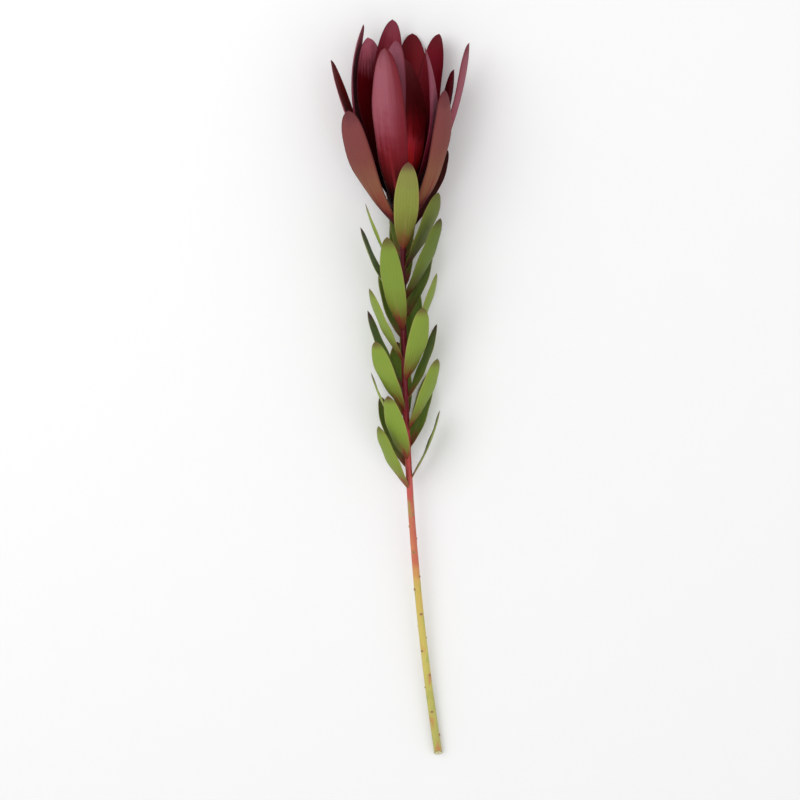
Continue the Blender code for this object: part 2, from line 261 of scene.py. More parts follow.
@dataclass(frozen=True)
class Habit:
    """The rule by which the plant's leaves and bracts grow, which is the CAD model's."""

    axis: Axis = field(default_factory=Axis)
    golden_angle: float = GOLDEN_ANGLE
    front_azimuth: float = math.radians(10.0)
    leaves: int = 25
    bracts: int = 24
    top_leaf_drop: float = 0.004
    internode: float = 0.00605

    seed: int = 41
    turn_spread: float = math.radians(4.0)
    root_lean_spread: float = math.radians(1.0)
    tip_lean_spread: float = math.radians(2.0)
    size_spread: float = 0.04
    twist_spread: float = math.radians(9.0)
    sway_spread: float = math.radians(4.0)

    cut_radius: float = 0.0025
    neck_radius: float = 0.0017
    neck_start: float = 0.97
    neck_flare: float = 0.0003
    taper_power: float = 0.8
    gap: float = 0.0003
    receptacle_height: float = 0.0355
    receptacle_width: float = 0.0057
    receptacle_step: float = 0.0002
    receptacle_sink: float = 0.0014
    swell_end: float = 0.45
    shoulder_start: float = 0.75
    shoulder_drop: float = 0.0006
    bract_crowding: float = 0.14

    leaf_lengths: tuple[float, float] = (0.057, 0.046)
    leaf_widths: tuple[float, float] = (0.0152, 0.0126)
    leaf_leans: tuple[float, float] = (math.radians(37.0), math.radians(14.0))
    leaf_cup: float = math.radians(16.0)
    leaf_thickness: float = 0.0007
    leaf_sink: float = 0.0012
    leaf_outline: Outline = Outline(base=0.19, peak=0.56, rise=2.1, blunt=0.52)

    bract_lengths: tuple[float, float, float] = (0.066, 0.099, 0.044)
    bract_widths: tuple[float, float, float] = (0.0165, 0.0225, 0.0120)
    bract_root_leans: tuple[float, float] = (math.radians(37.0), math.radians(27.0))
    bract_tip_leans: tuple[float, float] = (math.radians(14.0), math.radians(-24.0))
    bract_cup: float = math.radians(27.0)
    bract_thickness: float = 0.0008
    bract_outline: Outline = Outline(base=0.34, peak=0.60, rise=1.8, blunt=0.48)
    full_bract: int = 6
    inner_bracts: tuple[int, int] = (16, 20)

    @property
    def head_base(self) -> float:
        """The station at which the flower head starts."""
        return self.axis.stem_length + self.gap

    def stem_radius(self, station: float) -> float:
        """The stem's radius, which flares a little at the neck.

        Args:
            station: The distance from the cut end.

        Returns:
            The radius there.
        """
        share = station / self.axis.stem_length
        neck = smooth((share - self.neck_start) / (1.0 - self.neck_start))
        return mix(self.cut_radius, self.neck_radius, share ** self.taper_power) + self.neck_flare * neck

    def receptacle_radius(self, height: float) -> float:
        """The receptacle's radius, with its swelling and its shoulder.

        Args:
            height: The height above the head's base.

        Returns:
            The radius there.
        """
        share = height / self.receptacle_height
        swell = smooth(share / self.swell_end)
        shoulder = smooth((share - self.shoulder_start) / (1.0 - self.shoulder_start))
        foot = self.neck_radius + self.receptacle_step
        return mix(foot, self.receptacle_width, swell) - self.shoulder_drop * shoulder

    def leaf(self, index: int) -> Blade:
        """One leaf, as the rule has it.

        Args:
            index: Its number, 0 for the topmost and negative below it.

        Returns:
            The leaf.
        """
        age = -index / (self.leaves - 1)
        station = self.axis.stem_length - self.top_leaf_drop + self.internode * index
        return Blade(
            index=index,
            station=station,
            root_radius=self.stem_radius(station) - self.leaf_sink,
            azimuth=self.front_azimuth + self.golden_angle * index,
            length=mix(*self.leaf_lengths, age),
            width=mix(*self.leaf_widths, age),
            thickness=self.leaf_thickness,
            lean_root=self.leaf_leans[0],
            lean_tip=self.leaf_leans[1],
            cup=self.leaf_cup,
            outline=self.leaf_outline,
            axis=self.axis,
        )

    def bract(self, index: int) -> Blade:
        """One bract, as the rule has it.

        Args:
            index: Its number, 1 for the outermost and rising to the middle of the head.

        Returns:
            The bract.
        """
        height = self.receptacle_height * (1.0 - math.exp(-self.bract_crowding * index))
        grown = smooth(index / self.full_bract)
        first, last = self.inner_bracts
        inner = smooth((index - first) / (last - first))
        depth = index / self.bracts
        short, long, least = self.bract_lengths
        slim, broad, narrow = self.bract_widths
        return Blade(
            index=index,
            station=self.head_base + height,
            root_radius=self.receptacle_radius(height) - self.receptacle_sink,
            azimuth=self.front_azimuth + self.golden_angle * index,
            length=mix(mix(short, long, grown), least, inner),
            width=mix(mix(slim, broad, grown), narrow, inner),
            thickness=self.bract_thickness,
            lean_root=mix(*self.bract_root_leans, depth),
            lean_tip=mix(*self.bract_tip_leans, depth),
            cup=self.bract_cup,
            outline=self.bract_outline,
            axis=self.axis,
        )

    def varied(self, blade: Blade) -> Blade:
        """A blade with its own seeded variation and any departure from the rule.

        Args:
            blade: The blade as the rule has it.

        Returns:
            The blade as it grows.
        """
        draw = random.Random(self.seed + blade.index)
        turn, lean, size, twist, sway = (draw.uniform(-1.0, 1.0) for _ in range(5))
        own = DEPARTURES.get(blade.index, Departure())
        return replace(
            blade,
            azimuth=blade.azimuth + self.turn_spread * turn + math.radians(own.turn),
            lean_root=blade.lean_root + self.root_lean_spread * lean + math.radians(own.lean_root),
            lean_tip=blade.lean_tip + self.tip_lean_spread * lean + math.radians(own.lean_tip),
            length=blade.length * (1.0 + self.size_spread * size) * own.length,
            width=blade.width * (1.0 - self.size_spread * size) * own.width,
            twist=self.twist_spread * twist + math.radians(own.twist),
            sway=self.sway_spread * sway,
        )


# The organs that a viewer sees stand where the real ones do: leaves first, then bracts from the outside in
DEPARTURES: Mapping[int, Departure] = {
    -21: Departure(turn=-30.0, twist=-8.0),
    -18: Departure(twist=26.0),
    -16: Departure(turn=-16.0, twist=-22.0),
    -13: Departure(turn=17.0, twist=20.0),
    # Leaves -8, -5 and -2 carry painted shade that darkens all of each of them
    -8: Departure(turn=-9.0, length=1.22, dark=0.4),
    -5: Departure(turn=14.0, dark=1.6),
    -3: Departure(turn=-40.0, twist=10.0, length=0.9),
    -2: Departure(turn=-26.0, twist=24.0, length=0.95, dark=1.2),
    -1: Departure(turn=-52.0, length=0.92),
    0: Departure(turn=-3.0, length=1.08, width=0.94),
    1: Departure(turn=-26.0, lean_root=10.0, lean_tip=8.0, length=0.86),
    2: Departure(turn=14.0, twist=-36.0, lean_root=9.0, lean_tip=-7.0, length=1.09, width=1.12),
    3: Departure(turn=-4.0, twist=16.0, lean_root=6.0, lean_tip=-15.0, width=0.94),
    # Bract 5 carries painted shade down one side of its outer face
    5: Departure(turn=1.0, twist=4.0, lean_root=-2.0, lean_tip=-11.0, length=1.045, ruddy=0.85),
    6: Departure(turn=-16.0, twist=26.0, lean_root=1.0, lean_tip=0.0, length=1.05),
    7: Departure(lean_root=5.0, lean_tip=10.0, length=0.93, width=0.85),
    8: Departure(turn=28.0, twist=-34.0, lean_root=6.0, lean_tip=-26.0, width=0.68),
    9: Departure(turn=2.0),
    10: Departure(
        turn=-48.0, twist=-10.0, lean_root=11.0, lean_tip=-19.0, length=1.12, width=0.85, rosy=0.2
    ),
    11: Departure(turn=16.0, lean_root=4.0, lean_tip=10.0, length=0.78),
    12: Departure(turn=8.0, lean_root=3.0, lean_tip=-5.0, length=0.96, width=1.2, rosy=1.0),
    13: Departure(turn=-29.0, lean_root=-3.0, lean_tip=-7.0, length=0.92, width=0.85),
    14: Departure(turn=-2.0, lean_root=5.0, lean_tip=21.0, length=0.98, width=1.08),
    15: Departure(turn=-26.0, length=0.6),
    16: Departure(turn=-4.0, lean_root=-6.0, lean_tip=-22.0, length=0.83, width=0.9),
    17: Departure(turn=24.0, length=1.10, rosy=0.28),
}


@dataclass(frozen=True)
class Settling:
    """Lays each blade clear of the surface and of its neighbours, as the CAD model does."""

    habit: Habit
    stations: tuple[float, ...] = (0.0, 0.14, 0.30, 0.48, 0.66, 0.82, 0.93, 0.985, 1.0)
    across: tuple[float, ...] = (-1.0, -0.5, 0.0, 0.5, 1.0)
    tip_width: float = 0.10
    clearance: float = 0.0004
    nest_depth: int = 15
    root_zone: float = 0.026
    press_step: float = 0.03
    press_steps: int = 12
    press_cost: float = 2.0
    halvings: int = 20

    def grid(self, blade: Blade, side: int, extra: float = 0.0) -> list[list[Vector]]:
        """Rows of points over one face of the blade.

        Args:
            blade: The blade.
            side: 1 for its outer face, -1 for its inner one.
            extra: What its thickness grows by.

        Returns:
            A row of points for each station.
        """
        rows = []
        for u in self.stations:
            row = []
            for v in self.across:
                point, normal, _ = blade.skin(u, v, self.tip_width)
                row.append(point + normal * (side * (blade.thickness + extra) / 2.0))
            rows.append(row)
        return rows

    def tree(self, blade: Blade, root_zone: float) -> BVHTree:
        """A search tree over the blade's two faces, each moved out by half the clearance.

        Args:
            blade: The blade.
            root_zone: The length at its root that is left out.

        Returns:
            The tree.
        """
        columns = len(self.across)
        first_row = sum(1 for u in self.stations if u * blade.length < root_zone)
        points: list[Vector] = []
        faces = []
        for side in (1, -1):
            start = len(points)
            rows = self.grid(blade, side, self.clearance)[first_row:]
            points.extend(point for row in rows for point in row)
            for i in range(len(rows) - 1):
                for j in range(columns - 1):
                    corner = start + i * columns + j
                    faces.append((corner, corner + 1, corner + columns + 1))
                    faces.append((corner, corner + columns + 1, corner + columns))
        return BVHTree.FromPolygons(points, faces)

    def clears(self, blade: Blade) -> bool:
        """Whether the blade stays above the surface."""
        return min(p.z for side in (1, -1) for row in self.grid(blade, side) for p in row) >= 0.0

    def on_surface(self, blade: Blade) -> Blade:
        """The blade, pressed towards the axis as far as the surface under it asks.

        Args:
            blade: The blade as it grows.

        Returns:
            The blade, clear of the surface.
        """
        if self.clears(blade):
            return blade
        low, high = 0.0, 1.0
        for _ in range(self.halvings):
            middle = (low + high) / 2.0
            if self.clears(blade.pressed(middle)):
                low = middle
            else:
                high = middle
        return blade.pressed(low)

    def crossings(self, blade: Blade, near: Sequence[Blade]) -> int:
        """How much of the blade crosses its neighbours, away from their roots.

        Args:
            blade: The blade.
            near: Its neighbours.

        Returns:
            The number of pairs of faces that cross.
        """
        count = 0
        for other in near:
            root_zone = 0.0 if blade.index > 0 >= other.index else self.root_zone
            count += len(self.tree(blade, root_zone).overlap(self.tree(other, root_zone)))
        return count

    def nested(self, blade: Blade, placed: Sequence[Blade]) -> Blade:
        """The blade, pressed further where that makes it cross the blades before it less.

        Args:
            blade: The blade, clear of the surface.
            placed: The blades before it.

        Returns:
            The blade in its place.
        """
        near = [other for other in placed if blade.index - other.index <= self.nest_depth]
        best, least = blade, math.inf
        for step in range(self.press_steps):
            candidate = blade.pressed(1.0 - self.press_step * step)
            count = self.crossings(candidate, near)
            cost = count + self.press_cost * step
            if cost < least:
                best, least = candidate, cost
            if count == 0:
                break
        return best

    def blades(self) -> tuple[list[Blade], list[Blade]]:
        """Settles every blade, from the lowest up.

        Returns:
            The leaves and the bracts.
        """
        placed: list[Blade] = []
        for index in range(1 - self.habit.leaves, self.habit.bracts + 1):
            organ = self.habit.leaf(index) if index <= 0 else self.habit.bract(index)
            placed.append(self.nested(self.on_surface(self.habit.varied(organ)), placed))
        return placed[: self.habit.leaves], placed[self.habit.leaves :]


Operand = Union["Wire", float, int, tuple]


class Wire:
    """An output of a node, on which sums are written as Python expressions."""

    def __init__(self, sheet: "Sheet", socket: bpy.types.NodeSocket) -> None:
        """Wraps a socket of a node on the sheet."""
        self.sheet = sheet
        self.socket = socket

    def _sum(self, operation: str, first: Operand, second: Operand) -> "Wire":
        """The outcome of a sum.

        Args:
            operation: The operation's name on a Math node.
            first: The first operand.
            second: The second operand.

        Returns:
            The wire out of a Math node, or out of a Vector Math node where an operand is a vector.
        """
        vectors = [
            isinstance(each, tuple) or (isinstance(each, Wire) and each.socket.type == "VECTOR")
            for each in (first, second)
        ]
        if any(vectors) and not all(vectors):
            vector, number = (first, second) if vectors[0] else (second, first)
            operation, sockets = "SCALE", {0: vector, "Scale": number}
        else:
            sockets = {0: first, 1: second}
        kind = "ShaderNodeVectorMath" if any(vectors) else "ShaderNodeMath"
        return self.sheet.node(kind, {"operation": operation}, sockets)

    def _function(self, operation: str) -> "Wire":
        """The outcome of a Math node that takes one number."""
        return self.sheet.node("ShaderNodeMath", {"operation": operation}, {0: self})

    def __add__(self, other: Operand) -> "Wire":
        """self + other"""
        return self._sum("ADD", self, other)

    def __sub__(self, other: Operand) -> "Wire":
        """self - other"""
        return self._sum("SUBTRACT", self, other)

    def __rsub__(self, other: Operand) -> "Wire":
        """other - self"""
        return self._sum("SUBTRACT", other, self)

    def __mul__(self, other: Operand) -> "Wire":
        """self * other"""
        return self._sum("MULTIPLY", self, other)

    def __truediv__(self, other: Operand) -> "Wire":
        """self / other"""
        return self._sum("DIVIDE", self, other)

    def __pow__(self, other: Operand) -> "Wire":
        """self ** other"""
        return self._sum("POWER", self, other)

    __radd__ = __add__
    __rmul__ = __mul__

    def size(self) -> "Wire":
        """The number without its sign."""
        return self._function("ABSOLUTE")

    def sine(self) -> "Wire":
        """The sine of the angle."""
        return self._function("SINE")

    def cosine(self) -> "Wire":
        """The cosine of the angle."""
        return self._function("COSINE")

    def rising(self, low: float, high: float) -> "Wire":
        """0 up to low and 1 from high on, eased between them."""
        sockets = {"Value": self, "From Min": low, "From Max": high}
        return self.sheet.node("ShaderNodeMapRange", {"interpolation_type": "SMOOTHSTEP"}, sockets)

    def falling(self, low: float, high: float) -> "Wire":
        """1 up to low and 0 from high on, eased between them."""
        return 1.0 - self.rising(low, high)

    def cross(self, other: "Wire") -> "Wire":
        """The cross product of two vectors."""
        return self._sum("CROSS_PRODUCT", self, other)

    def unit(self) -> "Wire":
        """The vector at length 1."""
        return self.sheet.node("ShaderNodeVectorMath", {"operation": "NORMALIZE"}, {0: self})


class Sheet:
    """A node tree that is drawn one node at a time."""

    def __init__(self, tree: bpy.types.NodeTree) -> None:
        """Starts on a tree."""
        self.tree = tree

    @staticmethod
    def find(sockets: Iterable[bpy.types.NodeSocket], key: Union[int, str]) -> bpy.types.NodeSocket:
        """One of a node's sockets.

        Args:
            sockets: Its inputs or its outputs.
            key: The socket's place, identifier or name.

        Returns:
            The socket.
        """
        if isinstance(key, int):
            return sockets[key]
        named = [socket for socket in sockets if socket.identifier == key]
        named += [socket for socket in sockets if socket.name == key and socket.enabled]
        return named[0]

    def put(self, value: Any, socket: bpy.types.NodeSocket) -> None:
        """Feeds an input.

        Args:
            value: A wire that is linked to it, or else the input's own value.
            socket: The input.
        """
        if isinstance(value, Wire):
            self.tree.links.new(value.socket, socket)
        elif socket.type == "RGBA":
            socket.default_value = (*value, 1.0)
        else:
            socket.default_value = value

    def node(
        self,
        kind: str,
        settings: Optional[Mapping[str, Any]] = None,
        sockets: Optional[Mapping[Union[int, str], Any]] = None,
        output: Union[int, str] = 0,
    ) -> Wire:
        """Adds a node.

        Args:
            kind: The node's type.
            settings: Its own settings, with "stops" for a colour ramp's, which are set first.
            sockets: Values or wires for its inputs, by place, identifier or name.
            output: The output that is wanted, by place, identifier or name.

        Returns:
            That output, or the first input of a node that has no outputs.
        """
        made = self.tree.nodes.new(kind)
        for name, value in (settings or {}).items():
            if name == "stops":
                self.set_stops(made.color_ramp, value)
            else:
                setattr(made, name, value)
        for key, value in (sockets or {}).items():
            self.put(value, self.find(made.inputs, key))
        return Wire(self, self.find(made.outputs or made.inputs, output))

    @staticmethod
    def set_stops(ramp: bpy.types.ColorRamp, stops: Stops) -> None:
        """Sets the stops of a colour ramp.

        Args:
            ramp: The ramp, which starts with two.
            stops: Its stops.
        """
        while len(ramp.elements) < len(stops):
            ramp.elements.new(1.0)
        for element, (place, colour) in zip(ramp.elements, stops):
            element.position = place
            element.color = (*colour, 1.0)


class Palette(Sheet):
    """A material that is mixed from nodes."""

    def __init__(self, name: str) -> None:
        """Makes an empty material.

        Args:
            name: Its name.
        """
        self.material = bpy.data.materials.new(name)
        self.material.use_nodes = True
        self.material.node_tree.nodes.clear()
        super().__init__(self.material.node_tree)

    def attribute(self, name: str) -> Wire:
        """A number that the mesh carries at its points."""
        return self.node("ShaderNodeAttribute", {"attribute_name": name}, output="Fac")

    def places(self) -> Wire:
        """The point's place, in metres."""
        return self.node("ShaderNodeTexCoord", output="Object")

    def vector(self, x: Operand, y: Operand, z: Operand) -> Wire:
        """A vector of three numbers."""
        return self.node("ShaderNodeCombineXYZ", sockets={"X": x, "Y": y, "Z": z})

    def noise(self, at: Wire, scale: float, detail: float) -> Wire:
        """Soft noise between 0 and 1."""
        return self.node("ShaderNodeTexNoise", sockets={"Vector": at, "Scale": scale, "Detail": detail})

    def grain(self, scale: float, detail: float = 3.0, stretch: float = 1.0) -> Wire:
        """Soft noise on the point's place, drawn out along the stem where its stretch is under 1."""
        at = self.places() if stretch == 1.0 else self.places() * (1.0, stretch, 1.0)
        return self.noise(at, scale, detail)

    def ramp(self, share: Wire, stops: Stops) -> Wire:
        """The colour at a share of the way through the stops."""
        return self.node("ShaderNodeValToRGB", {"stops": stops}, {"Fac": share})

    def blend(self, share: Operand, low: Union[Wire, Colour], high: Union[Wire, Colour]) -> Wire:
        """A colour the given share of the way from low to high."""
        sockets = {"Factor_Float": share, "A_Color": low, "B_Color": high}
        return self.node("ShaderNodeMix", {"data_type": "RGBA"}, sockets, "Result_Color")

    def toned(self, colour: Wire, hue: Operand, value: Operand) -> Wire:
        """The colour with its hue shifted about 0.5 and its brightness scaled."""
        return self.node("ShaderNodeHueSaturation", sockets={"Hue": hue, "Value": value, "Color": colour})

    def bump(self, height: Wire, distance: float) -> Wire:
        """A normal bent by a height from 0 to 1 that stands for a distance in metres."""
        return self.node("ShaderNodeBump", sockets={"Distance": distance, "Height": height})

    def finish(self, **surface: Any) -> bpy.types.Material:
        """Ends in one principled shader.

        Args:
            surface: Its inputs, named with underscores for spaces.

        Returns:
            The material.
        """
        sockets = {name.replace("_", " "): value for name, value in surface.items()}
        shader = self.node("ShaderNodeBsdfPrincipled", sockets=sockets)
        self.node("ShaderNodeOutputMaterial", sockets={"Surface": shader})
        return self.material


@dataclass(frozen=True)
class GrainFinish:
    """A finish whose colour follows one number of the points, broken up by a grain that also stands out."""

    name: str
    stops: Stops
    followed: str = "along"
    tone: float = 0.8
    tone_spread: float = 0.4
    grain_scale: float = 900.0
    grain_stretch: float = 1.0
    grain_drift: float = 0.3
    roughness: float = 0.5
    roughening: float = 0.2
    specular: float = 0.15
    depth: float = 0.0003

    def coloured(self, sheet: Palette, grain: Wire) -> Wire:
        """Mixes the colour.

        Args:
            sheet: The material.
            grain: Its grain.

        Returns:
            The colour.
        """
        place = sheet.attribute(self.followed) + (grain - 0.5) * self.grain_drift
        return sheet.toned(sheet.ramp(place, self.stops), 0.5, self.tone + self.tone_spread * grain)

    def material(self) -> bpy.types.Material:
        """Mixes the material.

        Returns:
            The material.
        """
        sheet = Palette(self.name)
        grain = sheet.grain(self.grain_scale, stretch=self.grain_stretch)
        return sheet.finish(
            Base_Color=self.coloured(sheet, grain),
            Roughness=self.roughness + self.roughening * (grain - 0.5),
            Normal=sheet.bump(grain, self.depth),
            Specular_IOR_Level=self.specular,
        )


@dataclass(frozen=True)
class BladeFinish:
    """The finish of the leaves or the bracts, whose colours run from the root to the tip.

    A mark comes in or fades over a zone, which is a pair of shares: of the blade's length, or of the way
    from its middle to its margins where the name says sides.
    """

    name: str
    outer: Stops
    outer_green: Stops
    # The outer face's ramp of painted light and shade on the short inner bracts: light glowing through near
    # the root, shade above it
    outer_heart: Stops
    inner: Stops
    inner_green: Stops
    margin: Colour
    margin_strength: float
    rose: Colour
    bloom: Colour
    bloom_strength: float
    rib: Colour
    rib_strength: float
    tip: Colour
    tip_strength: float
    flush: Colour
    flush_reach: float
    veins: float
    vein_depth: float
    outer_roughness: float
    inner_roughness: float
    specular: float
    # Painted shade that darkens the roots of the blades, where they crowd into the cup
    foot_shade: float = 0.0
    foot_zone: Zone = (0.06, 0.22)
    # The darker crimson of the painted shade down one side of an outer face, and the sides that it covers
    crimson: Colour = srgb(106, 24, 36)
    crimson_flank: Zone = (0.0, 0.8)
    drift: float = 0.20
    blotch_scale: float = 110.0
    dust_scale: float = 1500.0
    streaks_across: float = 7.0
    streaks_along: float = 2.2
    streaks_apart: float = 40.0
    streak_detail: float = 4.0
    rose_zone: Zone = (0.74, 1.0)
    bloom_zone: Zone = (0.35, 0.85)
    bloom_sides: Zone = (0.55, 1.0)
    bloom_least: float = 0.35
    bloom_lost_on_green: float = 0.75
    vein_fineness: float = 3.0
    vein_waver: float = 0.1
    vein_wander: float = 0.16
    vein_streaks: Zone = (0.3, 0.6)
    vein_start: Zone = (0.0, 0.25)
    vein_end: Zone = (0.7, 0.98)
    rib_sides: Zone = (0.02, 0.16)
    rib_end: Zone = (0.05, 0.62)
    thread_streaks: Zone = (0.42, 0.60)
    thread_sides: Zone = (0.03, 0.16)
    thread_of_rib: float = 0.8
    thread_drift: float = 0.3
    thread_start: float = 0.04
    thread_strength: float = 0.9
    margin_sides: Zone = (0.84, 1.0)
    margin_least: float = 0.5
    margin_of_streaks: float = 0.8
    tip_zone: Zone = (0.87, 1.0)
    tip_drift: float = 0.05
    tip_least: float = 0.15
    tone: float = 0.88
    tone_spread: float = 0.18
    tone_of_streaks: float = 0.16
    tone_of_veins: float = 0.07
    tone_of_dust: float = 0.08
    # How far painted shade darkens a whole blade that carries its mark
    darkening: float = 0.28
    hue: float = 0.488
    hue_spread: float = 0.012
    relief_level: float = 0.55
    relief_of_veins: float = 0.25
    relief_of_streaks: float = 0.35
    relief_of_dust: float = 0.12
    roughening: float = 0.12

    def material(self) -> bpy.types.Material:
        """Mixes the material from the numbers that the points carry.

        Returns:
            The material.
        """
        sheet = Palette(self.name)
        along, across = sheet.attribute("along"), sheet.attribute("across")
        outer, green, heart = (sheet.attribute(name) for name in ("outer", "green", "heart"))
        rosy, ruddy, dark, draw = (sheet.attribute(name) for name in ("rosy", "ruddy", "dark", "draw"))
        side = across.size()

        blotch = sheet.grain(self.blotch_scale)
        run = (across * self.streaks_across, along * self.streaks_along, draw * self.streaks_apart)
        streak = sheet.noise(sheet.vector(*run), 1.0, self.streak_detail)
        dust = sheet.grain(self.dust_scale, detail=2.0)
        place = along + (blotch - 0.5) * self.drift + (streak - 0.5) * self.drift

        # The colours of the two faces, from the root to the tip
        outside = sheet.blend(green, sheet.ramp(place, self.outer), sheet.ramp(place, self.outer_green))
        inside = sheet.blend(green, sheet.ramp(place, self.inner), sheet.ramp(place, self.inner_green))
        inside = sheet.blend(rosy * place.rising(*self.rose_zone), inside, self.rose)
        powder = self.bloom_least + (1.0 - self.bloom_least) * dust
        bloomed = place.rising(*self.bloom_zone) * side.falling(*self.bloom_sides) * powder
        bloomed = bloomed * (1.0 - self.bloom_lost_on_green * green)
        outside = sheet.blend(bloomed * self.bloom_strength, outside, self.bloom)
        # Painted light and shade on the short inner bracts: light glowing through near the root, and shade
        # above it
        outside = sheet.blend(heart, outside, sheet.ramp(place, self.outer_heart))
        # Painted shade down one side of the outer face, in the darker crimson
        side_shade_mask = (across + 0.5 * (streak - 0.5)).rising(*self.crimson_flank)
        outside = sheet.blend(ruddy * side_shade_mask, outside, self.crimson)
        colour = sheet.blend(outer, inside, outside)

        # The fine veins, the rib, the red threads at the root, the margins and the tip
        wander = across * (1.0 + self.vein_waver * (blotch - 0.5)) + (streak - 0.5) * self.vein_wander
        vein = (0.5 + 0.5 * (wander * (self.veins * FULL_TURN)).cosine()) ** self.vein_fineness
        vein = vein * streak.rising(*self.vein_streaks)
        vein = vein * along.rising(*self.vein_start) * along.falling(*self.vein_end)
        rib = side.falling(*self.rib_sides) * along.falling(*self.rib_end)
        colour = sheet.blend(rib * self.rib_strength, colour, self.rib)
        threads = streak.rising(*self.thread_streaks) * green
        threads = threads + self.thread_of_rib * side.falling(*self.thread_sides)
        reach = along + self.thread_drift * (blotch - 0.5)
        threads = threads * reach.falling(self.thread_start, self.flush_reach)
        colour = sheet.blend(threads * self.thread_strength, colour, self.flush)
        edge = side.rising(*self.margin_sides) * (self.margin_least + streak * self.margin_of_streaks)
        colour = sheet.blend(edge * self.margin_strength, colour, self.margin)
        tinge = (along + self.tip_drift * (blotch - 0.5)).rising(*self.tip_zone)
        tinge = tinge * (self.tip_least + (1.0 - self.tip_least) * draw)
        colour = sheet.blend(tinge * self.tip_strength, colour, self.tip)

        # How light each place and each blade is, with painted shade over the whole of some blades and at
        # the bracts' roots
        shade = self.tone + self.tone_spread * draw + self.tone_of_streaks * (streak - 0.5)
        shade = shade - self.tone_of_veins * vein + self.tone_of_dust * (dust - 0.5)
        shade = shade * (1.0 - self.darkening * dark)
        shade = shade * (1.0 - self.foot_shade * place.falling(*self.foot_zone))
        hue = self.hue + self.hue_spread * blotch + self.hue_spread * draw
        colour = sheet.toned(colour, hue, shade)

        relief = self.relief_level - self.relief_of_veins * vein + self.relief_of_streaks * streak
        relief = relief + self.relief_of_dust * dust
        roughness = self.inner_roughness + outer * (self.outer_roughness - self.inner_roughness)
        return sheet.finish(
            Base_Color=colour,
            Roughness=roughness + self.roughening * (dust - 0.5),
            Normal=sheet.bump(relief, self.vein_depth),
            Specular_IOR_Level=self.specular,
        )


@dataclass(frozen=True)
class BarkFinish:
    """The stem's bark: straw yellow below, coral where its leaves start and crimson towards the head."""

    name: str = "reddened_bark"
    stops: Stops = shades(
        (0.00, 170, 168, 86), (0.20, 196, 184, 92), (0.33, 202, 172, 86), (0.41, 198, 120, 78),
        (0.50, 180, 82, 72), (0.60, 192, 74, 70), (0.65, 178, 56, 62), (0.70, 140, 36, 50),
        (0.82, 118, 30, 45), (1.00, 92, 18, 32),
    )
    strand_scale: float = 1900.0
    strand_stretch: float = 0.07
    strand_drift: float = 0.06
    strand_tone: float = 0.28
    blotch_scale: float = 160.0
    blotch_stretch: float = 0.35
    blotch_drift: float = 0.16
    speck_scale: float = 1500.0
    speck_stretch: float = 0.5
    speck_tone: float = 0.16
    speck_edge: Zone = (0.66, 0.76)
    speck_rise: Zone = (0.62, 0.78)
    flush: Colour = srgb(186, 84, 70)
    flush_strength: float = 0.7
    flush_edge: Zone = (0.5, 0.72)
    flush_end: Zone = (0.3, 0.6)
    shade_side: Colour = srgb(140, 156, 66)
    shade_strength: float = 0.6
    shade_edge: Zone = (0.30, 0.46)
    shade_end: Zone = (0.55, 0.9)
    tone: float = 0.86
    relief_of_strands: float = 0.7
    roughness: float = 0.42
    roughening: float = 0.2
    specular: float = 0.4
    depth: float = 0.00025

    def material(self) -> bpy.types.Material:
        """Mixes the material from the share of the stem's length and from grain that runs along it.

        Returns:
            The material.
        """
        sheet = Palette(self.name)
        along = sheet.attribute("along")
        strand = sheet.grain(self.strand_scale, stretch=self.strand_stretch)
        blotch = sheet.grain(self.blotch_scale, stretch=self.blotch_stretch)
        speck = sheet.grain(self.speck_scale, detail=1.0, stretch=self.speck_stretch)

        place = along + (blotch - 0.5) * self.blotch_drift + (strand - 0.5) * self.strand_drift
        colour = sheet.ramp(place, self.stops)
        flushed = blotch.rising(*self.flush_edge) * along.falling(*self.flush_end)
        colour = sheet.blend(flushed * self.flush_strength, colour, self.flush)
        shaded = blotch.falling(*self.shade_edge) * along.falling(*self.shade_end)
        colour = sheet.blend(shaded * self.shade_strength, colour, self.shade_side)
        tone = self.tone + self.strand_tone * strand + self.speck_tone * speck.rising(*self.speck_edge)

        strands, specks = self.relief_of_strands, 1.0 - self.relief_of_strands
        relief = strand * strands + speck.rising(*self.speck_rise) * specks
        return sheet.finish(
            Base_Color=sheet.toned(colour, 0.5, tone),
            Roughness=self.roughness + self.roughening * (strand - 0.5),
            Normal=sheet.bump(relief, self.depth),
            Specular_IOR_Level=self.specular,
        )


@dataclass(frozen=True)
class ScaleFinish(GrainFinish):
    """The finish of small scales, which are darkest at the foot and paler along their rims."""

    rim: Colour = srgb(190, 168, 130)
    rim_strength: float = 0.7
    rim_sides: Zone = (0.72, 1.0)
    rim_least: float = 0.4
    hue: float = 0.49
    hue_spread: float = 0.02
    tone: float = 0.85
    tone_spread: float = 0.3
    grain_scale: float = 1800.0
    roughness: float = 0.55
    depth: float = 0.0002

    def coloured(self, sheet: Palette, grain: Wire) -> Wire:
        """Mixes the colour, which differs a little from scale to scale.

        Args:
            sheet: The material.
            grain: Its grain.

        Returns:
            The colour.
        """
        along, across, draw = (sheet.attribute(name) for name in (self.followed, "across", "draw"))
        colour = sheet.ramp(along + (grain - 0.5) * self.grain_drift, self.stops)
        edge = across.size().rising(*self.rim_sides) * (self.rim_least + grain)
        colour = sheet.blend(edge * self.rim_strength, colour, self.rim)
        return sheet.toned(colour, self.hue + self.hue_spread * draw, self.tone + self.tone_spread * draw)


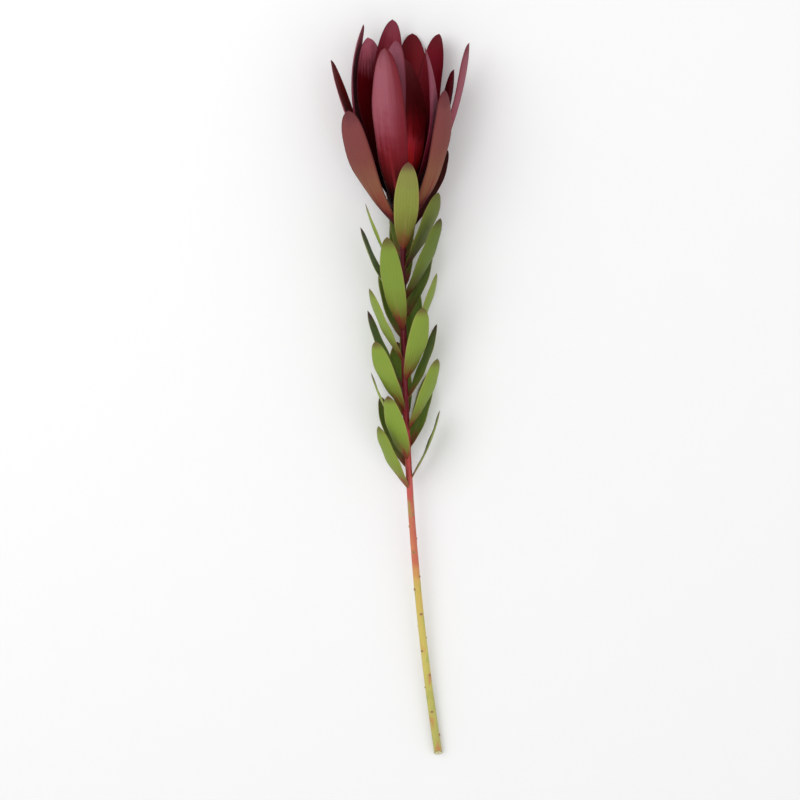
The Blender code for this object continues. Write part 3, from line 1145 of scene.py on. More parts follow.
BRACT_FINISH = BladeFinish(
    name="crimson_bract",
    # Both faces darken towards the root: the bracts' own deep crimson, deepened with painted shade where
    # the cup closes round them
    outer=shades(
        (0.00, 54, 6, 10), (0.16, 46, 4, 8), (0.28, 78, 5, 15), (0.40, 106, 16, 30),
        (0.53, 128, 49, 63), (0.68, 140, 70, 84), (0.90, 138, 70, 82), (1.00, 114, 48, 58),
    ),
    # Painted light and shade: a scarlet glow of light shining through near the root, near-black shade above
    # it
    outer_heart=shades(
        (0.00, 120, 10, 16), (0.18, 170, 14, 24), (0.30, 202, 40, 48), (0.38, 184, 44, 58),
        (0.48, 126, 14, 24), (0.64, 84, 10, 16), (1.00, 92, 20, 28),
    ),
    outer_green=shades(
        (0.00, 98, 34, 34), (0.12, 116, 54, 42), (0.26, 134, 92, 62), (0.42, 136, 90, 66),
        (0.62, 126, 70, 60), (0.86, 124, 66, 61), (1.00, 100, 46, 46),
    ),
    inner=shades(
        (0.00, 48, 4, 8), (0.20, 92, 8, 14), (0.42, 98, 8, 16), (0.70, 102, 7, 15),
        (0.88, 110, 14, 24), (1.00, 102, 22, 30),
    ),
    inner_green=shades(
        (0.00, 72, 24, 20), (0.30, 96, 40, 30), (0.80, 110, 44, 42), (1.00, 90, 36, 38),
    ),
    margin=srgb(84, 26, 34),
    margin_strength=0.65,
    rose=srgb(204, 108, 128),
    bloom=srgb(168, 112, 126),
    bloom_strength=0.32,
    rib=srgb(128, 30, 46),
    rib_strength=0.45,
    tip=srgb(74, 18, 26),
    tip_strength=0.35,
    flush=srgb(140, 38, 44),
    flush_reach=0.50,
    veins=5.0,
    vein_depth=0.00035,
    outer_roughness=0.6,
    inner_roughness=0.45,
    specular=0.07,
    foot_shade=0.72,
)
LEAF_FINISH = BladeFinish(
    name="green_leaf",
    outer=shades(
        (0.00, 146, 34, 46), (0.10, 132, 74, 46), (0.26, 122, 116, 54), (0.50, 130, 133, 58),
        (0.72, 130, 130, 58), (1.00, 118, 104, 60),
    ),
    outer_heart=shades((0.00, 130, 140, 64), (1.00, 130, 140, 64)),
    outer_green=shades(
        (0.00, 138, 40, 40), (0.07, 128, 88, 44), (0.17, 124, 130, 52), (0.50, 130, 151, 58),
        (0.84, 127, 147, 56), (1.00, 124, 138, 54),
    ),
    inner=shades(
        (0.00, 128, 36, 44), (0.12, 126, 92, 58), (0.30, 122, 138, 66), (0.80, 124, 126, 66),
        (1.00, 108, 72, 58),
    ),
    inner_green=shades(
        (0.00, 118, 40, 38), (0.08, 104, 90, 40), (0.22, 92, 114, 36), (0.80, 88, 110, 34),
        (0.95, 94, 92, 38), (1.00, 84, 54, 36),
    ),
    margin=srgb(170, 150, 92),
    margin_strength=0.45,
    rose=srgb(130, 140, 64),
    bloom=srgb(160, 172, 110),
    bloom_strength=0.14,
    rib=srgb(164, 160, 96),
    rib_strength=0.35,
    tip=srgb(88, 44, 44),
    tip_strength=0.95,
    flush=srgb(150, 44, 50),
    flush_reach=0.36,
    veins=4.0,
    vein_depth=0.00030,
    outer_roughness=0.5,
    inner_roughness=0.42,
    specular=0.14,
)
BASAL_FINISH = ScaleFinish(
    name="dark_basal_scale",
    stops=shades((0.00, 34, 8, 8), (0.55, 58, 15, 18), (1.00, 88, 36, 34)),
    rim=srgb(100, 54, 44),
)
CONE_FINISH = ScaleFinish(
    name="cone_scale",
    stops=shades((0.00, 60, 22, 16), (0.55, 140, 66, 44), (1.00, 168, 120, 66)),
)
SCAR_FINISH = ScaleFinish(
    name="leaf_scar",
    stops=shades((0.00, 116, 84, 58), (0.55, 176, 146, 98), (1.00, 170, 130, 88)),
    rim=srgb(188, 158, 110),
)
RECEPTACLE_FINISH = GrainFinish(
    name="receptacle",
    stops=shades((0.00, 80, 17, 26), (1.00, 32, 6, 8)),
    grain_stretch=0.3,
)
CONE_CORE_FINISH = GrainFinish(
    name="cone_core",
    stops=shades((0.00, 60, 24, 18), (1.00, 110, 60, 38)),
    grain_stretch=0.3,
)
# The cut end from its middle out: a darker pith, pale wood and a green rim
CUT_FINISH = GrainFinish(
    name="fresh_cut_wood",
    stops=shades(
        (0.00, 168, 150, 104), (0.24, 168, 150, 104), (0.32, 222, 214, 168), (0.80, 222, 214, 168),
        (0.90, 128, 140, 70),
    ),
    followed="out",
    tone=0.85,
    tone_spread=0.3,
    grain_scale=2600.0,
    grain_drift=0.12,
    roughness=0.7,
    specular=0.5,
    depth=0.0002,
)


@dataclass(frozen=True)
class BladeSkin:
    """How finely a blade's skin is modelled, and how it thins and waves towards its margins."""

    rows: int
    columns: int
    middle: float
    margin: float
    rib: float = 0.0
    rib_width: float = 0.10
    rib_end: float = 0.8
    wave: float = 0.0
    waves: float = 2.5
    wave_skew: float = 1.3
    wave_power: int = 3
    root_swell: float = 0.0
    root_width: float = 1.0
    root_zone: float = 0.12
    tip_width: float = 0.02
    tip_zone: float = 0.10
    tip_thinning: float = 0.4
    point: float = 0.0
    point_width: float = 0.0005
    point_start: float = 0.95
    heading_start: float = 0.97
    crowding: float = 0.6

    def stations(self) -> list[float]:
        """The shares of the length at which the skin has rows, closest at the tip."""
        return [math.sin(0.5 * math.pi * i / self.rows) for i in range(self.rows + 1)]

    def lines(self) -> list[float]:
        """The places across at which the skin has columns, closest at the margins."""
        shares = [2.0 * j / self.columns - 1.0 for j in range(self.columns + 1)]
        return [mix(share, math.sin(share * math.pi / 2.0), self.crowding) for share in shares]

    def thickness(self, u: float, v: float) -> float:
        """The thickness at a place on the blade.

        Args:
            u: The share of the length.
            v: The place across.

        Returns:
            The thickness, with the rib and the swollen root.
        """
        body = mix(self.margin, self.middle, math.sqrt(max(0.0, 1.0 - v * v)))
        rib = self.rib * math.exp(-((v / self.rib_width) ** 2)) * (1.0 - smooth(u / self.rib_end))
        tip = mix(self.tip_thinning, 1.0, smooth((1.0 - u) / self.tip_zone))
        return (body + rib) * tip + self.root_swell * (1.0 - smooth(u / self.root_zone))

    def pointed(self, blade: Blade, u: float, v: float, half: float) -> Vector:
        """How far a place near the tip is drawn out into the blade's small point.

        Args:
            blade: The blade.
            u: The share of the length.
            v: The place across.
            half: The half-width there.

        Returns:
            The move.
        """
        start, end = (blade.skin(at, 0.0, self.tip_width)[0] for at in (self.heading_start, 1.0))
        near = math.exp(-((v * half / self.point_width) ** 2))
        near *= smooth((u - self.point_start) / (1.0 - self.point_start))
        return (end - start).normalized() * (self.point * near)

    def face(self, blade: Blade, side: int, phase: float) -> list[list[Vector]]:
        """Rows of points over one face.

        Args:
            blade: The blade.
            side: 1 for its outer face, -1 for its inner one.
            phase: The angle at which its margins' wave starts.

        Returns:
            A row of points for each station, none of them below the surface.
        """
        rows = []
        for u in self.stations():
            row = []
            waist = mix(self.root_width, 1.0, smooth(u / self.root_zone))
            for v in self.lines():
                point, normal, half = blade.skin(u, v * waist, self.tip_width)
                curl = math.sin(FULL_TURN * self.waves * u + phase + self.wave_skew * v)
                curl *= abs(v) ** self.wave_power * math.sin(math.pi * u)
                lift = side * self.thickness(u, v) / 2.0 + self.wave * curl
                place = point + normal * lift + self.pointed(blade, u, v, half)
                place.z = max(place.z, 0.0)
                row.append(place)
            rows.append(row)
        return rows

    def add(self, builder: bmesh.types.BMesh, blade: Blade, marks: Mapping[str, float]) -> None:
        """Adds a closed blade to a mesh, with its attributes.

        Args:
            builder: The mesh.
            blade: The blade.
            marks: Numbers that all its points carry, by attribute name.
        """
        layers = {name: float_layer(builder, name) for name in ("along", "across", "outer", *marks)}
        stations, lines = self.stations(), self.lines()
        phase = FULL_TURN * marks["draw"]
        grids = []
        for side in (1, -1):
            grid = [[builder.verts.new(place) for place in row] for row in self.face(blade, side, phase)]
            for u, row in zip(stations, grid):
                for v, vert in zip(lines, row):
                    own = {"along": u, "across": v, "outer": (1 + side) / 2.0, **marks}
                    for name, value in own.items():
                        vert[layers[name]] = value
            grids.append(grid)
        outer, inner = grids
        for i in range(self.rows):
            for j in range(self.columns):
                builder.faces.new((outer[i][j], outer[i][j + 1], outer[i + 1][j + 1], outer[i + 1][j]))
                builder.faces.new((inner[i][j], inner[i + 1][j], inner[i + 1][j + 1], inner[i][j + 1]))
        last, end = self.rows, self.columns
        rim = [(i, 0) for i in range(last)] + [(last, j) for j in range(end)]
        rim += [(i, end) for i in range(last, 0, -1)] + [(0, j) for j in range(end, 0, -1)]
        for (i, j), (k, m) in zip(rim, rim[1:] + rim[:1]):
            builder.faces.new((outer[i][j], outer[k][m], inner[k][m], inner[i][j]))


def float_layer(builder: bmesh.types.BMesh, name: str) -> Any:
    """A mesh's layer of numbers at its points, which is made if it isn't there."""
    layers = builder.verts.layers.float
    return layers.get(name) or layers.new(name)


def placed(name: str, data: bpy.types.ID) -> bpy.types.Object:
    """Makes an object and puts it in the scene.

    Args:
        name: Its name.
        data: Its mesh, light or camera.

    Returns:
        The object.
    """
    made = bpy.data.objects.new(name, data)
    bpy.context.scene.collection.objects.link(made)
    return made


def mesh_object(
    name: str, builder: bmesh.types.BMesh, material: Optional[bpy.types.Material] = None
) -> bpy.types.Object:
    """An object at the origin, of a mesh whose faces are turned outwards.

    Args:
        name: The object's name.
        builder: The mesh, which is freed.
        material: Its material, where it has one.

    Returns:
        The object, in the scene.
    """
    bmesh.ops.recalc_face_normals(builder, faces=builder.faces)
    mesh = bpy.data.meshes.new(name)
    builder.to_mesh(mesh)
    builder.free()
    mesh.shade_smooth()
    if material:
        mesh.materials.append(material)
    return placed(name, mesh)


def domed(
    builder: bmesh.types.BMesh, middle: bmesh.types.BMVert, rings: Sequence[Sequence[bmesh.types.BMVert]]
) -> None:
    """Joins rings of points into a closed shell, with a fan at the middle and one face under the last.

    Args:
        builder: The mesh.
        middle: The point in the middle of the first ring.
        rings: The rings, from the innermost out.
    """
    count = len(rings[0])
    for j in range(count):
        k = (j + 1) % count
        builder.faces.new((middle, rings[0][j], rings[0][k]))
        for near, far in zip(rings, rings[1:]):
            builder.faces.new((near[j], far[j], far[k], near[k]))
    builder.faces.new(rings[-1])


def dressed(piece: bpy.types.Object, slot: Slot, replaces: Optional[Node] = None) -> None:
    """Sets a piece riding on the plant's one body, and logs it.

    Args:
        piece: The piece.
        slot: The material slot that is logged with it.
        replaces: The CAD node that it stands for, where it does.
    """
    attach(piece, "root")
    if replaces:
        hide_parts(replaces.value)
    log.info("%s: %d faces, slot %s", piece.name, len(piece.data.polygons), slot.value)


@dataclass(frozen=True)
class PathPoint:
    """A point of a path, and the girth of what is built round it there."""

    place: Vector
    girth: float


@dataclass(frozen=True)
class Settings:
    """Values for the inputs of a tree, whose names are the fields' own."""

    def inputs(self, **more: Any) -> dict[str, Any]:
        """The values and some more, by the names of the inputs."""
        return {name.replace("_", " ").capitalize(): value for name, value in (vars(self) | more).items()}


@dataclass(frozen=True)
class Tube(Settings):
    """How a tube is grown: the sides round it, and the depth, scale and stretch of its relief."""

    sides: int
    relief: float
    grain: float
    stretch: float


@dataclass(frozen=True)
class Scatter(Settings):
    """How small scales are set round a path: shares of its length, radians and metres."""

    count: int
    first_turn: float
    start: float
    end: float
    first_lean: float
    last_lean: float
    first_size: float = 1.0
    last_size: float = 1.0
    turn: float = GOLDEN_ANGLE
    crowding: float = 1.0
    sink: float = 0.0002
    uneven: float = 0.2
    seed: int = 3


class Growth(Sheet):
    """A Geometry Nodes tree with named inputs, which grows plain geometry on a path."""

    def __init__(self, name: str) -> None:
        """Starts a tree whose first input is the path.

        Args:
            name: The tree's name.
        """
        super().__init__(bpy.data.node_groups.new(name, "GeometryNodeTree"))
        self.source = self.tree.nodes.new("NodeGroupInput")
        self.identifiers: dict[str, str] = {}
        mesh = self.opening("Path", "Geometry")
        self.path = self.node("GeometryNodeMeshToCurve", sockets={"Mesh": mesh})
        self.girth = self.node("GeometryNodeInputNamedAttribute", {"data_type": "FLOAT"}, {"Name": "girth"})

    def opening(self, name: str, kind: str = "Float") -> Wire:
        """Adds an input to the tree.

        Args:
            name: Its name.
            kind: Its socket's kind.

        Returns:
            What it carries.
        """
        made = self.tree.interface.new_socket(name, in_out="INPUT", socket_type=f"NodeSocket{kind}")
        self.identifiers[name] = made.identifier
        return Wire(self, self.find(self.source.outputs, name))

    def stored(self, geometry: Wire, name: str, value: Wire, domain: str) -> Wire:
        """Keeps a number on geometry.

        Args:
            geometry: The geometry.
            name: The number's name.
            value: The number.
            domain: What carries it: points or instances.

        Returns:
            The geometry with the number.
        """
        settings = {"data_type": "FLOAT", "domain": domain}
        sockets = {"Geometry": geometry, "Name": name, "Value": value}
        return self.node("GeometryNodeStoreNamedAttribute", settings, sockets)

    def close(self, geometry: Wire) -> None:
        """Ends the tree in plain geometry with its material.

        Args:
            geometry: The geometry.
        """
        plain = self.node("GeometryNodeRealizeInstances", sockets={"Geometry": geometry})
        material = self.opening("Material", "Material")
        done = self.node("GeometryNodeSetMaterial", sockets={"Geometry": plain, "Material": material})
        self.tree.interface.new_socket("Geometry", in_out="OUTPUT", socket_type="NodeSocketGeometry")
        self.node("NodeGroupOutput", sockets={0: done})

    def grown(self, name: str, path: Sequence[PathPoint], inputs: Mapping[str, Any]) -> bpy.types.Object:
        """Grows the tree's geometry.

        Args:
            name: The name of the object.
            path: The points to grow it on.
            inputs: The values of the tree's inputs, by name.

        Returns:
            An object with a plain mesh.
        """
        builder = bmesh.new()
        layer = float_layer(builder, "girth")
        verts = [builder.verts.new(point.place) for point in path]
        for vert, point in zip(verts, path):
            vert[layer] = point.girth
        for near, far in zip(verts, verts[1:]):
            builder.edges.new((near, far))
        piece = mesh_object(name, builder)
        modifier = piece.modifiers.new(self.tree.name, "NODES")
        modifier.node_group = self.tree
        for key, value in inputs.items():
            modifier[self.identifiers[key]] = value
        evaluated = piece.evaluated_get(bpy.context.evaluated_depsgraph_get())
        mesh = bpy.data.meshes.new_from_object(evaluated)
        piece.modifiers.clear()
        piece.data = mesh
        mesh.shade_smooth()
        return piece


class TubeGrowth(Growth):
    """A closed tube round a path, as thick as the path's girth, with a grain that runs along it."""

    def __init__(self) -> None:
        """Draws the tree."""
        super().__init__("tube_growth")
        sides = self.opening("Sides", "Int")
        relief, grain, stretch = (self.opening(name) for name in ("Relief", "Grain", "Stretch"))
        share = self.node("GeometryNodeSplineParameter", output="Factor")
        path = self.stored(self.path, "along", share, "POINT")
        ring = self.node("GeometryNodeCurvePrimitiveCircle", sockets={"Resolution": sides, "Radius": 1.0})
        sockets = {"Curve": path, "Profile Curve": ring, "Scale": self.girth, "Fill Caps": True}
        tube = self.node("GeometryNodeCurveToMesh", sockets=sockets)
        stretched = self.node("ShaderNodeCombineXYZ", sockets={"X": 1.0, "Y": stretch, "Z": 1.0})
        at = self.node("GeometryNodeInputPosition") * stretched
        noise = self.node("ShaderNodeTexNoise", sockets={"Vector": at, "Scale": grain, "Detail": 2.0})
        offset = self.node("GeometryNodeInputNormal") * ((noise - 0.5) * relief)
        self.close(self.node("GeometryNodeSetPosition", sockets={"Geometry": tube, "Offset": offset}))


class ScaleGrowth(Growth):
    """Copies of one small scale, set round a path in one spiral, each leaning out from it."""

    def __init__(self) -> None:
        """Draws the tree."""
        super().__init__("scale_growth")
        scale = self.opening("Scale", "Object")
        count, seed = self.opening("Count", "Int"), self.opening("Seed", "Int")
        names = ("First turn", "Turn", "Start", "End", "Crowding", "Sink", "Uneven")
        first_turn, turn, start, end, crowding, sink, uneven = (self.opening(name) for name in names)
        names = ("First lean", "Last lean", "First size", "Last size")
        first_lean, last_lean, first_size, last_size = (self.opening(name) for name in names)

        index = self.node("GeometryNodeInputIndex")
        share = (index / (count - 1)) ** crowding
        draw, other = (
            self.node("FunctionNodeRandomValue", {"data_type": "FLOAT"}, {"Seed": own}, "Value_001")
            for own in (seed, seed + 1)
        )

        # Where each copy grows from, and the directions that it faces
        settings = {"mode": "FACTOR", "data_type": "FLOAT"}
        sockets = {"Curves": self.path, "Value": self.girth, "Factor": start + (end - start) * share}
        girth = self.node("GeometryNodeSampleCurve", settings, sockets, "Value")
        sampled = girth.socket.node.outputs
        centre, along = (Wire(self, self.find(sampled, name)) for name in ("Position", "Tangent"))
        right = along.cross(self.node("ShaderNodeCombineXYZ", sockets={"Z": 1.0})).unit()
        angle = first_turn + turn * index + (other - 0.5) * uneven
        radial = right.cross(along) * angle.cosine() + right * angle.sine()
        lean = first_lean + (last_lean - first_lean) * share + (other - 0.5) * uneven
        forward = along * lean.cosine() + radial * lean.sine()
        outward = radial * lean.cosine() - along * lean.sine()
        size = (first_size + (last_size - first_size) * share) * (1.0 + (draw - 0.5) * uneven)

        # The copies themselves
        sockets = {"Count": count, "Position": centre + radial * (girth - sink)}
        points = self.node("GeometryNodePoints", sockets=sockets)
        settings = {"primary_axis": "Y", "secondary_axis": "Z"}
        sockets = {"Primary Axis": forward, "Secondary Axis": outward}
        facing = self.node("FunctionNodeAxesToRotation", settings, sockets)
        sockets = {"Object": scale, "As Instance": True}
        shape = self.node("GeometryNodeObjectInfo", sockets=sockets, output="Geometry")
        sockets = {"Points": points, "Instance": shape, "Rotation": facing, "Scale": size}
        copies = self.node("GeometryNodeInstanceOnPoints", sockets=sockets)
        self.close(self.stored(copies, "draw", draw, "INSTANCE"))


@dataclass(frozen=True)
class ScaleShape:
    """One small scale, modelled once and then repeated."""

    length: float
    width: float
    thickness: float
    cup: float
    lean_tip: float
    outline: Outline
    rows: int = 5
    columns: int = 4
    margin_share: float = 0.3
    tip_width: float = 0.08

    def model(self) -> bpy.types.Object:
        """Makes the scale at the origin, along +Y, with its outer face up.

        Returns:
            An object to copy.
        """
        height = 1.0  # above the surface, below which a skin has no points
        blade = Blade(
            index=0,
            station=0.0,
            root_radius=0.0,
            azimuth=0.0,
            length=self.length,
            width=self.width,
            thickness=self.thickness,
            lean_root=0.0,
            lean_tip=self.lean_tip,
            cup=self.cup,
            outline=self.outline,
            axis=Axis(start=(0.0, 0.0, height), rise=0.0, side_bend=0.0),
        )
        margin = self.margin_share * self.thickness
        size = {"rows": self.rows, "columns": self.columns, "tip_width": self.tip_width}
        skin = BladeSkin(middle=self.thickness, margin=margin, **size)
        builder = bmesh.new()
        skin.add(builder, blade, {"draw": 0.0})
        bmesh.ops.translate(builder, verts=builder.verts, vec=(0.0, 0.0, -height))
        return mesh_object("scale_shape", builder)


@dataclass(frozen=True)
class ScarShape:
    """The scar of a stripped leaf: a low corky half-moon that hugs the stem, with a sunk middle."""

    length: float = 0.0019
    width: float = 0.0023
    upper_share: float = 0.6
    stem_radius: float = 0.0022
    profile: tuple[tuple[float, float], ...] = (
        (0.30, 0.00016),
        (0.55, 0.00020),
        (0.72, 0.00036),
        (0.86, 0.00034),
        (1.00, 0.00010),
        (1.10, -0.00035),
    )
    sides: int = 20

    def model(self) -> bpy.types.Object:
        """Makes the scar at the origin, facing +Z, with its flatter end towards +Y.

        Returns:
            An object to copy.
        """
        builder = bmesh.new()
        layers = {name: float_layer(builder, name) for name in ("along", "across", "draw")}

        def vert(share: float, turn: float, height: float) -> bmesh.types.BMVert:
            """Adds a point.

            Args:
                share: The share of the way out.
                turn: The share of a full turn.
                height: The height above the stem.

            Returns:
                The point.
            """
            x = 0.5 * self.width * share * math.cos(FULL_TURN * turn)
            y = 0.5 * self.length * share * math.sin(FULL_TURN * turn)
            y *= self.upper_share if y > 0.0 else 1.0
            made = builder.verts.new((x, y, height - x * x / (2.0 * self.stem_radius)))
            made[layers["along"]] = made[layers["across"]] = min(share, 1.0)
            return made

        turns = [j / self.sides for j in range(self.sides)]
        middle = vert(0.0, 0.0, self.profile[0][1])
        rings = [[vert(share, turn, height) for turn in turns] for share, height in self.profile]
        domed(builder, middle, rings)
        return mesh_object("scar_shape", builder)


def tubed(
    name: str, path: Sequence[PathPoint], tube: Tube, finish: Union[BarkFinish, GrainFinish]
) -> bpy.types.Object:
    """A piece that is one tube round a path."""
    return TubeGrowth().grown(name, path, tube.inputs(material=finish.material()))


def scattered(
    name: str,
    path: Sequence[PathPoint],
    shape: Union[ScaleShape, ScarShape],
    scatter: Scatter,
    finish: ScaleFinish,
) -> bpy.types.Object:
    """A piece made of one small shape's copies.

    Args:
        name: The piece's name.
        path: The path that they grow on.
        shape: The shape.
        scatter: How its copies are set.
        finish: Their finish.

    Returns:
        The piece.
    """
    model = shape.model()
    piece = ScaleGrowth().grown(name, path, scatter.inputs(scale=model, material=finish.material()))
    bpy.data.objects.remove(model)
    return piece


@dataclass
class LeafyStem:
    """The woody stem from its cut end to the neck, with its leaves."""

    habit: Habit
    leaves: Sequence[Blade]
    rings: int = 180
    tube: Tube = Tube(sides=28, relief=0.00025, grain=1100.0, stretch=0.06)
    cut_slant: float = 0.8
    cut_length: float = 0.005
    cut_shares: tuple[float, ...] = (0.25, 0.5, 0.75, 0.9, 0.97)
    cut_proud: float = 0.00012
    sunk_share: float = 0.94
    cut_sunk: float = 0.0003
    skin: BladeSkin = BladeSkin(
        rows=42,
        columns=14,
        middle=0.00062,
        margin=0.00016,
        rib=0.00018,
        wave=0.00030,
        root_swell=0.0007,
        root_width=0.4,
        point=0.0005,
    )
    first_red_leaf: float = -3.5
    reddening: float = 4.5
    scar: ScarShape = ScarShape()
    scar_step: float = 0.0074
    lowest_scar: float = 0.012
    scar_lean: float = math.radians(-9.0)
    scar_sink: float = 0.0001
    scar_uneven: float = 0.25

    def path(self) -> list[PathPoint]:
        """Points along the stem, from its cut end to its neck."""
        stations = [self.habit.axis.stem_length * i / self.rings for i in range(self.rings + 1)]
        return [PathPoint(self.habit.axis.point(s), self.habit.stem_radius(s)) for s in stations]

    def bark(self) -> bpy.types.Object:
        """Grows the stem's bark, and slants its cut end.

        Returns:
            The piece.
        """
        piece = tubed("stem_bark", self.path(), self.tube, BarkFinish())
        start = self.habit.axis.point(0.0)
        for vert in piece.data.vertices:
            near = 1.0 - smooth((vert.co.y - start.y) / self.cut_length)
            vert.co.y += self.cut_slant * near * (vert.co.z - start.z)
            vert.co.z = max(vert.co.z, 0.0)
        return piece

    def cut_end(self) -> bpy.types.Object:
        """Makes the cut face: a thin slanted lens over the tube's end, for its wood and pith.

        Returns:
            The piece.
        """
        builder = bmesh.new()
        layer = float_layer(builder, "out")
        along, right, front = self.habit.axis.frame(0.0)
        centre = self.habit.axis.point(0.0)
        radius = self.habit.stem_radius(0.0)

        def vert(out: float, turn: float, proud: float) -> bmesh.types.BMVert:
            """Adds a point.

            Args:
                out: The share of the radius.
                turn: The share of a full turn.
                proud: How far it stands out from the cut.

            Returns:
                The point.
            """
            angle = FULL_TURN * turn
            spoke = math.cos(angle) * front + math.sin(angle) * right
            slide = self.cut_slant * out * radius * math.cos(angle)
            made = builder.verts.new(centre + spoke * (out * radius) + along * (slide - proud))
            made.co.z = max(made.co.z, 0.0)
            made[layer] = out
            return made

        turns = [j / self.tube.sides for j in range(self.tube.sides)]
        middle = vert(0.0, 0.0, self.cut_proud)
        rings = [[vert(out, turn, self.cut_proud) for turn in turns] for out in self.cut_shares]
        rings.append([vert(self.sunk_share, turn, -self.cut_sunk) for turn in turns])
        domed(builder, middle, rings)
        return mesh_object("cut_end", builder, CUT_FINISH.material())

    def foliage(self) -> bpy.types.Object:
        """Makes all the leaves, of which the topmost redden.

        Returns:
            The piece.
        """
        builder = bmesh.new()
        draw = random.Random(self.habit.seed)
        for leaf in self.leaves:
            green = 1.0 - smooth((leaf.index - self.first_red_leaf) / self.reddening)
            own = DEPARTURES.get(leaf.index, Departure())
            marks = {"draw": draw.random(), "green": green, "heart": 0.0}
            self.skin.add(builder, leaf, marks | own.colouring())
        return mesh_object("leaves", builder, LEAF_FINISH.material())

    def scars(self) -> bpy.types.Object:
        """Grows the scars of the leaves stripped from the lower stem, further down the same spiral.

        Returns:
            The piece.
        """
        length = self.habit.axis.stem_length
        start = self.leaves[0].station - self.scar_step
        scatter = Scatter(
            count=int((start - self.lowest_scar) / self.scar_step),
            first_turn=self.habit.front_azimuth - self.habit.golden_angle * self.habit.leaves,
            turn=-self.habit.golden_angle,
            start=start / length,
            end=self.lowest_scar / length,
            first_lean=self.scar_lean,
            last_lean=self.scar_lean,
            sink=self.scar_sink,
            uneven=self.scar_uneven,
        )
        return scattered("leaf_scars", self.path(), self.scar, scatter, SCAR_FINISH)

    def build(self) -> None:
        """Builds the pieces and dresses them."""
        dressed(self.foliage(), Slot.LEAF, Node.STEM)
        dressed(self.bark(), Slot.BARK)
        dressed(self.cut_end(), Slot.BARK)
        dressed(self.scars(), Slot.BARK)


@dataclass
class FlowerHead:
    """The receptacle and the coloured bracts that grow from it."""

    habit: Habit
    bracts: Sequence[Blade]
    skin: BladeSkin = BladeSkin(
        rows=54,
        columns=16,
        middle=0.00068,
        margin=0.00015,
        rib=0.00010,
        wave=0.00035,
        root_swell=0.0005,
        point=0.0004,
    )
    first_red_bract: float = 2.6
    reddening: float = 2.6
    # Which inner bracts carry the painted glow of light through them and the painted shade above it
    heart_rise: float = 2.0
    heart_length: float = 0.9
    rings: int = 40
    tube: Tube = Tube(sides=32, relief=0.0003, grain=900.0, stretch=0.3)
    overlap: float = 0.0008
    scale: ScaleShape = ScaleShape(
        length=0.0085,
        width=0.0050,
        thickness=0.0005,
        cup=math.radians(40.0),
        lean_tip=math.radians(-14.0),
        outline=Outline(base=0.55, peak=0.35, rise=2.0, blunt=0.75),
    )
    scatter: Scatter = Scatter(
        count=34,
        first_turn=1.1,
        start=0.02,
        end=0.86,
        first_lean=math.radians(40.0),
        last_lean=math.radians(28.0),
        first_size=0.6,
        last_size=2.1,
        sink=0.0004,
        seed=5,
    )

    def path(self) -> list[PathPoint]:
        """Points up the receptacle, from just inside the end of the stem.

        Returns:
            The points.
        """
        points = []
        for i in range(self.rings + 1):
            height = mix(-self.overlap, self.habit.receptacle_height, i / self.rings)
            place = self.habit.axis.point(self.habit.head_base + height)
            points.append(PathPoint(place, self.habit.receptacle_radius(max(height, 0.0))))
        return points

    def marks(self, bract: Blade, draw: float) -> dict[str, float]:
        """The numbers that a bract's points carry.

        Args:
            bract: The bract, which is greener the lower it stands; the short inner ones carry painted light
                glowing through near the root and painted shade above it.
            draw: Its random share.

        Returns:
            The numbers, by attribute name.
        """
        green = 1.0 - smooth((bract.index - self.first_red_bract) / self.reddening)
        heart = smooth(bract.index - self.habit.inner_bracts[0] + self.heart_rise)
        heart *= 1.0 - smooth(bract.length / self.habit.bract_lengths[1] - self.heart_length)
        own = DEPARTURES.get(bract.index, Departure())
        return {"draw": draw, "green": green, "heart": heart} | own.colouring()

    def rosette(self) -> bpy.types.Object:
        """Makes all the bracts.

        Returns:
            The piece.
        """
        builder = bmesh.new()
        draw = random.Random(self.habit.seed + 1)
        for bract in self.bracts:
            self.skin.add(builder, bract, self.marks(bract, draw.random()))
        return mesh_object("bracts", builder, BRACT_FINISH.material())

    def receptacle(self) -> bpy.types.Object:
        """The swollen end of the stem, on which the bracts are seated."""
        return tubed("receptacle", self.path(), self.tube, RECEPTACLE_FINISH)

    def basal_scales(self) -> bpy.types.Object:
        """The small scales that clothe the foot of the receptacle."""
        return scattered("basal_scales", self.path(), self.scale, self.scatter, BASAL_FINISH)

    def build(self) -> None:
        """Builds the pieces and dresses them."""
        dressed(self.rosette(), Slot.BRACT, Node.HEAD)
        dressed(self.receptacle(), Slot.BRACT)
        dressed(self.basal_scales(), Slot.BRACT)


